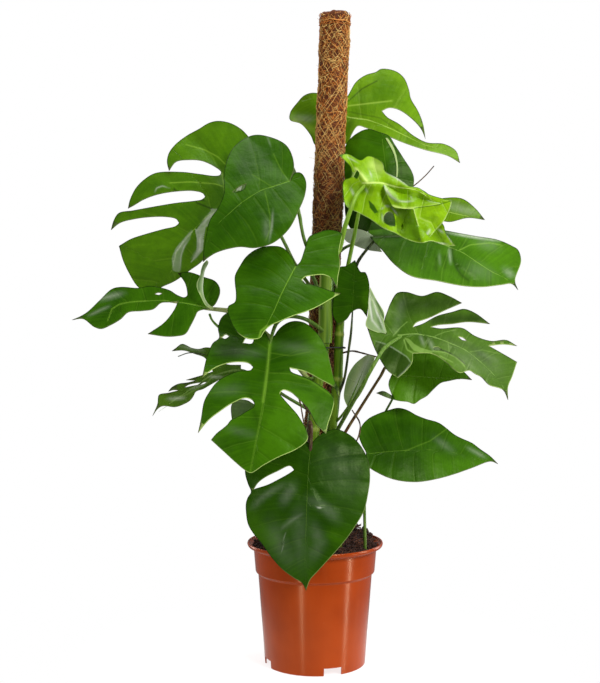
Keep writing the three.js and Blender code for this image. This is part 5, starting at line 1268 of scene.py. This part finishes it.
def make_pot():
    """The pot in one moulding, its foot notches and drain holes cut out of it."""
    wall, floor, plate, top = POT["wall"], POT["floor"], POT["plate"], POT["height"]
    lip_foot = top - POT["lip"]
    floor_radius = POT["base"] + (POT["wall_top"] - POT["base"]) * floor / POT["step"]
    corners = [  # radius, height, rounding
        (POT["foot"], 0, 1), (POT["foot"] + 2, floor, 1), (floor_radius - wall, floor, 1),
        (POT["base"] - wall, 0, 0.6), (POT["base"], 0, 0.6),
        (POT["wall_top"], POT["step"] - 2.4, 1.6), (POT["band_foot"], POT["step"] + 0.4, 1.2),
        (POT["band"], lip_foot, 1.6), (POT["rim"] - 1.5, lip_foot + 3, 1.2), (POT["rim"], top - 2.6, 0.8),
        (POT["rim"] - 0.8, top, 0.7), (POT["rim"] - 3, top, 0.8), (POT["rim"] - 3.5, top - 3, 1),
        (POT["band"] - wall, lip_foot + 1, 2), (POT["band_foot"] - wall, POT["step"] + 1, 1),
        (POT["wall_top"] - wall, POT["step"] - 3, 1), (floor_radius - wall, floor + plate, 1),
    ]
    outline = [(0, 0)]
    ring = [(0, 0), *[c[:2] for c in corners], (0, floor + plate)]
    for k, (radius, height, rounding) in enumerate(corners):
        outline += [tuple(p) for p in round_corner(ring[k], (radius, height), ring[k + 2], rounding)]
    outline.append((0, floor + plate))
    pot = turned_piece("pot_moulding", outline, POT["sides"], finishes["pot"])
    cutters = []
    for k in range(POT["notches"]):
        turn = math.radians(POT["notch_turn"] + 360 / POT["notches"] * k)
        bpy.ops.mesh.primitive_cube_add(size=1, location=(0, 0, 0))
        cutter = bpy.context.active_object
        sizes = (POT["notch_width"], POT["notch_depth"], 2 * POT["notch_height"])
        cutter.data.transform(notch_matrix(*sizes, -POT["base"], turn))
        cutters.append(cutter)
    for k in range(POT["drains"]):
        turn = math.tau * k / POT["drains"]
        bpy.ops.mesh.primitive_cylinder_add(vertices=24, radius=POT["drain"] * MM, depth=4 * plate * MM)
        cutter = bpy.context.active_object
        spot = Vector((math.cos(turn), math.sin(turn), 0)) * POT["drain_ring"] * MM
        cutter.data.transform(Matrix.Translation(spot + Vector((0, 0, (floor + plate / 2) * MM))))
        cutters.append(cutter)
    for cutter in cutters:
        finish_with(pot, "BOOLEAN", operation="DIFFERENCE", object=cutter, solver="EXACT")
        bpy.data.objects.remove(cutter)
    smooth_to(pot, 32)
    return place_piece(pot, "pot", "nursery_pot")


def notch_matrix(width, deep, high, out, turn):
    """What takes a 1 m cube to the size and place of a notch, in mm, turned round the pot."""
    sized = Matrix.Diagonal((width * MM, deep * MM, high * MM, 1))
    return Matrix.Rotation(turn, 4, "Z") @ Matrix.Translation((0, out * MM, 0)) @ sized


# Soil
def soil_height(x, y):
    """The lumpy top of the soil, heaped at the back right, in mm."""
    crumb = np.sin(0.23 * x + 1.3) * np.cos(0.19 * y) + np.sin(0.41 * x - 0.37 * y)
    slope = np.minimum(1, (SOIL["edge"] + 1.4 - np.hypot(x, y)) / 8)
    off_heap = (x - SOIL["heap_x"]) ** 2 + (y - SOIL["heap_y"]) ** 2
    heap = SOIL["heap"] * slope * np.exp(-off_heap / SOIL["heap_spread"])
    return SOIL["top"] + SOIL["lump"] * crumb / 2 + heap


def lump_shape():
    """The points and faces of a ball with 20 sides, which each crumb starts from."""
    mesh = bmesh.new()
    bmesh.ops.create_icosphere(mesh, subdivisions=1, radius=1)
    mesh.verts.ensure_lookup_table()
    points = np.array([v.co[:] for v in mesh.verts])
    faces = [tuple(v.index for v in f.verts) for f in mesh.faces]
    mesh.free()
    return points, faces


def soil_spot(chance, reach):
    """A place on the soil by chance, and how far out it is."""
    turn, out = chance.uniform(0, math.tau), reach * math.sqrt(chance.uniform(0, 1))
    return out * math.cos(turn), out * math.sin(turn), out


def make_litter():
    """The crumbs and the loose fibres that lie on the soil, clear of all that grows or stands in it."""
    chance = np.random.default_rng(5)
    shape, faces = lump_shape()
    reach = SOIL["edge"] + 1
    blocked = [(on_sight(*stem["route"][0]), max(stem["radius"]) + 2) for stem in STEMS]
    blocked += [(on_sight(*leaf["stalk"][1][0]), 4.5) for leaf in LEAVES if leaf["stalk"][1][0][1] > SOIL_PX]
    blocked.append((pole_axis(SOIL["top"]), POLE["radius"] + 3))

    def is_blocked(x, y, gap):
        return any(math.hypot(x - spot[0], y - spot[1]) < radius + gap for spot, radius in blocked)

    crumbs = Heap()
    while len(crumbs.points) < SOIL["crumbs"]:
        x, y, out = soil_spot(chance, reach)
        size = chance.choice([1.0, 1.6, 2.4, 3.6], p=[0.4, 0.34, 0.2, 0.06]) * chance.uniform(0.8, 1.3)
        if is_blocked(x, y, size) or out + size > reach + 1:
            continue
        wobble = shape * chance.uniform(0.6, 1.35, (len(shape), 1)) * chance.uniform(0.7, 1.3, 3) * size
        crumbs.add(wobble + (x, y, soil_height(x, y) + size * 0.15), faces)
    fibres = Heap()
    while len(fibres.points) < SOIL["fibres"]:
        x, y, _ = soil_spot(chance, reach - 10)
        if is_blocked(x, y, 10):
            continue
        heading, bend = chance.uniform(0, math.tau), chance.uniform(-0.12, 0.12)
        line = []
        for _ in range(7):
            line.append((x, y, soil_height(x, y) + 2.2 + chance.uniform(0, 1.4)))
            heading += bend
            x, y = x + 2.6 * math.cos(heading), y + 2.6 * math.sin(heading)
        fibres.lay(line, chance.uniform(0.25, 0.5), 4, chance.uniform(0, 1))
    place_piece(crumbs.piece("soil_crumbs", finishes["soil"], smooth=False), "soil")
    place_piece(fibres.piece("soil_fibres", finishes["litter"]), "soil")


# Coir pole
def pole_axis(height):
    """The middle of the pole, which leans a little to the right, at each height."""
    height = np.asarray(height, float)
    return np.stack([POLE["slope"] * (height - POLE["centre_height"]), 0 * height, height], -1)


def on_pole(turn, height, out):
    """Points at a turn and height on the leaning pole, so far out from its axis, over its slow bulges."""
    turn, height, out = np.broadcast_arrays(turn, height, out)
    spots = zip(1.4 * np.cos(turn.ravel()), 1.4 * np.sin(turn.ravel()), height.ravel() * 0.034)
    out = out + 1.7 * unevenness(spots).reshape(turn.shape)
    return pole_axis(height) + np.stack([out * np.cos(turn), out * np.sin(turn), 0 * np.asarray(turn)], -1)


def sleeve_skin():
    """The closed felt of fibre under the strands, its top folded in over the stake."""
    skin, sides = POLE["radius"] - 0.8, 60
    turns = full_turn(sides)
    profile = [(skin, z) for z in np.arange(POLE["foot"], POLE["top"] - 10, 6.0)]
    profile += [(skin + 0.9, POLE["top"] - 8), (skin + 0.4, POLE["top"] - 3.5), (skin - 3, POLE["top"] - 1.2),
                (skin - 8, POLE["top"] - 1.6), (skin - 14, POLE["top"] - 4)]
    points = []
    for out, z in profile:
        folded = z > POLE["top"] - 9
        bumps = unevenness((math.cos(t) * 3, math.sin(t) * 3, z * 0.12) for t in turns)
        lobes = 0.9 * np.sin(turns * 7 + 0.8) if folded else 0
        heights = np.full(sides, z) + (1.6 * bumps if folded else 0)
        points.append(on_pole(turns, heights, out + bumps * 0.9 + lobes))
    points = np.concatenate(points + [pole_axis([POLE["foot"], POLE["top"] - 5])])
    return points, capped_rings(len(profile), sides)


def surface_fibre(chance, turn, z, heading, length, bend, out, cuts=6):
    """A short fibre that lies on the sleeve, curving a little."""
    run = np.linspace(-0.5, 0.5, cuts) * length
    curve = run**2 * bend
    turns = turn + (run * math.sin(heading) + curve * math.cos(heading)) / POLE["radius"]
    heights = np.clip(z + run * math.cos(heading) - curve * math.sin(heading), POLE["foot"], POLE["top"] - 3)
    lift = np.sin(np.linspace(0, math.pi, cuts)) * chance.uniform(0, 0.9)
    folded = 1.4 * np.clip((heights - POLE["top"] + 16) / 8, 0, 1)
    return on_pole(turns, heights, POLE["radius"] + out + lift + folded)


def lay_fibres(heap, chance, count, foot, spread, slant, lengths, bend, outs, radii, tints):
    """Short fibres by chance all over the sleeve, slanting to both sides."""
    for _ in range(count):
        turn, z = chance.uniform(0, math.tau), chance.uniform(foot, SLEEVE_TOP)
        heading = chance.normal(0, spread) + (slant if chance.random() < 0.5 else -slant)
        line = surface_fibre(chance, turn, z, heading, chance.uniform(*lengths), chance.normal(0, bend),
                             chance.uniform(*outs))
        heap.lay(line, chance.uniform(*radii), 3, chance.beta(*tints))


def lay_strands(heap, chance):
    """The long strands that climb the sleeve both ways and cross in a net."""
    for way in (1, -1):
        for k in range(POLE["strands"]):
            heights = np.arange(POLE["foot"] + 2, SLEEVE_TOP, 5.0)
            start = math.tau * (k + 0.25 * way) / POLE["strands"]
            drift = unevenness((k * 3.1, way * 7.7, z * 0.035) for z in heights)
            kinks = unevenness((k * 5.3, way * 2.7, z * 0.13) for z in heights)
            turn = start + way * (heights - POLE["foot"]) / POLE["rise"] * math.tau
            turn = turn + drift * 0.3 + kinks * 0.06
            over = 0.4 * np.cos(turn * POLE["strands"] + way * 0.8)
            line = on_pole(turn, heights + 2 * kinks, POLE["radius"] + 0.25 + over)
            heap.lay(line, chance.uniform(0.24, 0.44), 5, chance.uniform(0.3, 1.0))


def lay_hairs(heap, chance, count):
    """Loose hairs that stand off the sleeve."""
    for _ in range(count):
        turn, z = chance.uniform(0, math.tau), chance.uniform(210, SLEEVE_TOP)
        length, cuts = 3 + chance.exponential(3.5), 6
        share = np.linspace(0, 1, cuts)
        turns = turn + chance.normal(0, 0.5) * share * length / POLE["radius"]
        heights = z + chance.normal(0, 0.6) * length * share - 0.15 * length * share**2
        line = on_pole(turns, heights, POLE["radius"] - 0.5 + length * chance.uniform(0.15, 0.8) * share**1.5)
        heap.lay(line, np.linspace(0.24, 0.1, cuts), 3, chance.uniform(0.2, 1))


def make_sleeve():
    chance = np.random.default_rng(11)
    felt, net = Heap(), Heap()
    felt.add(*sleeve_skin(), tint=0.1)
    lay_fibres(felt, chance, 4600, foot=POLE["foot"] + 6, spread=0.55, slant=0.95, lengths=(5, 18),
               bend=0.045, outs=(-0.7, 0.4), radii=(0.22, 0.56), tints=(0.9, 0.8))
    place_piece(felt.piece("coir_felt", finishes["coir"]), "coir", "coir_sleeve")
    lay_strands(net, chance)
    lay_fibres(net, chance, 2400, foot=POLE["foot"] + 40, spread=0.7, slant=0.9, lengths=(4, 12), bend=0.09,
               outs=(0.2, 0.9), radii=(0.2, 0.5), tints=(0.9, 0.7))
    lay_hairs(net, chance, 700)
    place_piece(net.piece("coir_strands", finishes["coir"]), "coir")


def make_binding():
    """Twine wound three times round the sleeve's folded top."""
    heap = Heap()
    chance = np.random.default_rng(3)
    turns = full_turn(90)
    for k in range(BINDING["rounds"]):
        height = BINDING["height"] + (k - 1) * BINDING["gap"]
        height = height + 1.4 * np.sin(turns + k * 2.1) + 0.7 * np.sin(7 * turns + k)
        line = on_pole(turns, height, POLE["radius"] + 1.7 + 0.35 * np.sin(turns * 3 + k))
        heap.lay(np.concatenate([line, line[:1]]), BINDING["radius"], 6, chance.uniform(0.4, 0.8))
    return place_piece(heap.piece("binding_twine", finishes["coir"]), "binding", "binding_ring")


# Tie
def make_tie():
    """The thin loop that holds the front stems to the pole."""
    rounds = [(pole_axis(TIE["height"])[:2], POLE["radius"] + 1.1)]
    for stem in STEMS[:2]:
        line = traced_line(stem["route"], 4)
        spot = line[np.abs(line[:, 2] - TIE["height"]).argmin()]
        rounds.append((spot[:2], max(stem["radius"]) + 1))
    turns = full_turn(36)
    ring = np.stack([np.cos(turns), np.sin(turns)], 1)
    spots = np.concatenate([centre + (radius + 1.1) * ring for centre, radius in rounds])
    loop = spots[geometry.convex_hull_2d([tuple(spot) for spot in spots])]
    line = np.column_stack([loop, TIE["height"] + 0.8 * np.sin(np.arange(len(loop)) * 0.35)])
    points, faces, _ = tube(np.concatenate([line, line[:1]]), TIE["radius"], 8, 1.8)
    return place_piece(make_piece("tie_loop", points, faces, [finishes["tie"]], {}), "tie", "tie")


# Stems and roots
def make_stem(stem):
    """A climbing stem, thicker at each ring where a leaf has grown."""
    line = evenly(traced_line(stem["route"], 6), 3)
    lengths = lengths_along(line)
    share = lengths / lengths[-1]
    radii = np.interp(share, np.linspace(0, 1, len(stem["radius"])), stem["radius"])
    ring = np.zeros(len(line))
    for u in stem["rings"]:
        off = (share - u) * lengths[-1]
        ring = np.maximum(ring, np.exp(-((off / 2.2) ** 2)))
        radii = radii + 0.9 * np.exp(-((off / 2.4) ** 2)) + 0.6 * np.exp(-((off + 5) ** 2) / 60)
    radii = radii - 0.35 * np.sin(share * 30) ** 2
    radii[-4:] *= (0.97, 0.9, 0.76, 0.5)
    points, faces, run = tube(line, radii, STEM_SIDES)
    ring = np.concatenate([np.repeat(ring, STEM_SIDES), [0, 0]])
    piece = make_piece(stem["name"] + "_grown", points, faces, [finishes["stem"]], dict(run=run, ring=ring))
    return place_piece(piece, "stem", stem["name"])


def make_sheath(name, stem, low, high, turn, width):
    """A half-open leaf sheath that hugs a stem between two shares of its length."""
    line = evenly(traced_line(stem["route"], 6), 4)
    share = np.linspace(0, 1, len(line))
    held = (share >= low) & (share <= high)
    line, share = line[held], (share[held] - low) / (high - low)
    radius = max(stem["radius"]) + 0.9
    cuts, points, edge = 13, [], []
    for spot, u in zip(line, share):
        half = width * min(1, 0.35 + 2.2 * math.sin(math.pi * min(u * 0.9 + 0.06, 1)))
        for v in np.linspace(-1, 1, cuts):
            angle = turn + v * half
            out = radius + 1.6 * abs(v) ** 3 + 0.5 * math.sin(9 * u + 3 * v)
            points.append(spot + (out * math.cos(angle), out * math.sin(angle), 0))
            edge.append(1 - abs(v))
    faces = [(k * cuts + i, k * cuts + i + 1, (k + 1) * cuts + i + 1, (k + 1) * cuts + i)
             for k in range(len(line) - 1) for i in range(cuts - 1)]
    piece = make_piece(name, points, faces, [finishes["sheath"]], dict(edge=edge))
    finish_with(piece, "SOLIDIFY", thickness=0.9 * MM, offset=0)
    smooth_to(piece, 50)
    return place_piece(piece, "stem")


def make_root(root):
    line = evenly(traced_line(root["route"], 3), 2)
    radii = np.linspace(*root["radius"], len(line)) * (1 + 0.3 * unevenness(line * 0.12))
    points, faces, run = tube(line, radii, 8)
    finish = finishes[root.get("look", "root")]
    piece = make_piece(root["name"] + "_grown", points, faces, [finish], dict(run=run))
    return place_piece(piece, "root", root["name"])


# Stage
ROOM_LIGHT = 0.24


def softbox(name, place, target, size, power, height=None):
    """An area light at a place in metres, aimed at a target."""
    light = bpy.data.lights.new(name, "AREA")
    light.energy, light.size = power, size
    if height:
        light.shape, light.size_y = "RECTANGLE", height
    lamp = bpy.data.objects.new(name, light)
    bpy.context.scene.collection.objects.link(lamp)
    lamp.location = place
    lamp.rotation_euler = (Vector(target) - lamp.location).to_track_quat("-Z", "Y").to_euler()


def white_room():
    """A white background whose own light on the plant stays soft and low."""
    world = bpy.data.worlds.new("white_room")
    world.use_nodes = True
    tree = world.node_tree
    path = tree.nodes.new("ShaderNodeLightPath")
    strength = tree.nodes.new("ShaderNodeMapRange")
    strength.inputs["To Min"].default_value = ROOM_LIGHT
    tree.links.new(path.outputs["Is Camera Ray"], strength.inputs["Value"])
    background = tree.nodes["Background"]
    background.inputs["Color"].default_value = (1, 1, 1, 1)
    tree.links.new(strength.outputs["Result"], background.inputs["Strength"])
    bpy.context.scene.world = world


def make_stage():
    scene = bpy.context.scene
    bpy.ops.mesh.primitive_circle_add(vertices=96, radius=1.6, fill_type="TRIFAN", location=(0, 0, -0.0005))
    floor = bpy.context.active_object
    floor.name = "pale_floor"
    floor.data.materials.append(floor_finish())
    softbox("key", (1.5, -1.9, 1.9), (0.0, 0, 0.45), 0.9, 52)
    softbox("side", (1.9, -0.1, 0.6), (0.05, 0, 0.45), 0.45, 11, 1.5)
    softbox("fill", (-1.7, -1.8, 0.9), (-0.05, 0, 0.45), 0.5, 11, 1.4)
    softbox("overhead", (0.1, 0.2, 2.3), (0, 0, 0.5), 1.2, 20)
    for name, turn, power in (("left_glint", -29, 4), ("right_glint", 70, 5)):
        out = math.radians(turn)
        softbox(name, (2.1 * math.sin(out), -2.1 * math.cos(out), -0.75), (0, 0, 0.1), 0.1, power, 0.9)
    softbox("left_rim", (-1.6, 1.1, 0.6), (0, 0, 0.4), 0.6, 9, 1.5)
    softbox("right_rim", (1.7, 1.2, 0.6), (0, 0, 0.4), 0.6, 9, 1.5)
    white_room()
    scene.view_settings.view_transform = "Standard"
    camera = bpy.data.cameras.new("photo_view")
    camera.sensor_width = SENSOR_MM
    camera.lens = FOCAL_PX * SENSOR_MM / max(PICTURE)
    viewer = bpy.data.objects.new("photo_view", camera)
    scene.collection.objects.link(viewer)
    viewer.location = EYE * MM
    viewer.rotation_euler = (math.radians(90) - EYE_TILT, 0, 0)
    scene.camera = viewer


# The whole plant
finishes = {"pot": pot_finish(), "soil": soil_finish(), "core": core_finish(), "stem": stem_finish(),
            "sheath": sheath_finish(), "root": root_finish(), "tie": tie_finish(),
            "coir": fibre_finish("coir", ink(80, 32, 6), ink(216, 126, 42), ink(255, 214, 126)),
            "litter": fibre_finish("litter", ink(50, 24, 14), ink(104, 56, 30), ink(140, 84, 48))}
finishes |= {f"upper_{tone}": upper_finish(tone) for tone in LEAF_TONES}
finishes |= {f"under_{tone}": under_finish(tone) for tone in LEAF_TONES}
finishes |= {f"stalk_{tone}": stalk_finish(tone) for tone in STALK_TONES}

make_stage()
make_pot()
make_litter()
make_sleeve()
make_binding()
make_tie()
for stem in STEMS:
    make_stem(stem)
make_sheath("sheath_left_stem", STEMS[0], 0.7, 0.98, -0.9, 1.7)
for root in ROOTS:
    make_root(root)
for leaf in LEAVES:
    make_leaf(leaf)
for node, finish in (("pole_core", "core"), ("soil", "soil")):
    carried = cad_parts[node]
    carried.data.materials.clear()
    carried.data.materials.append(finishes[finish])
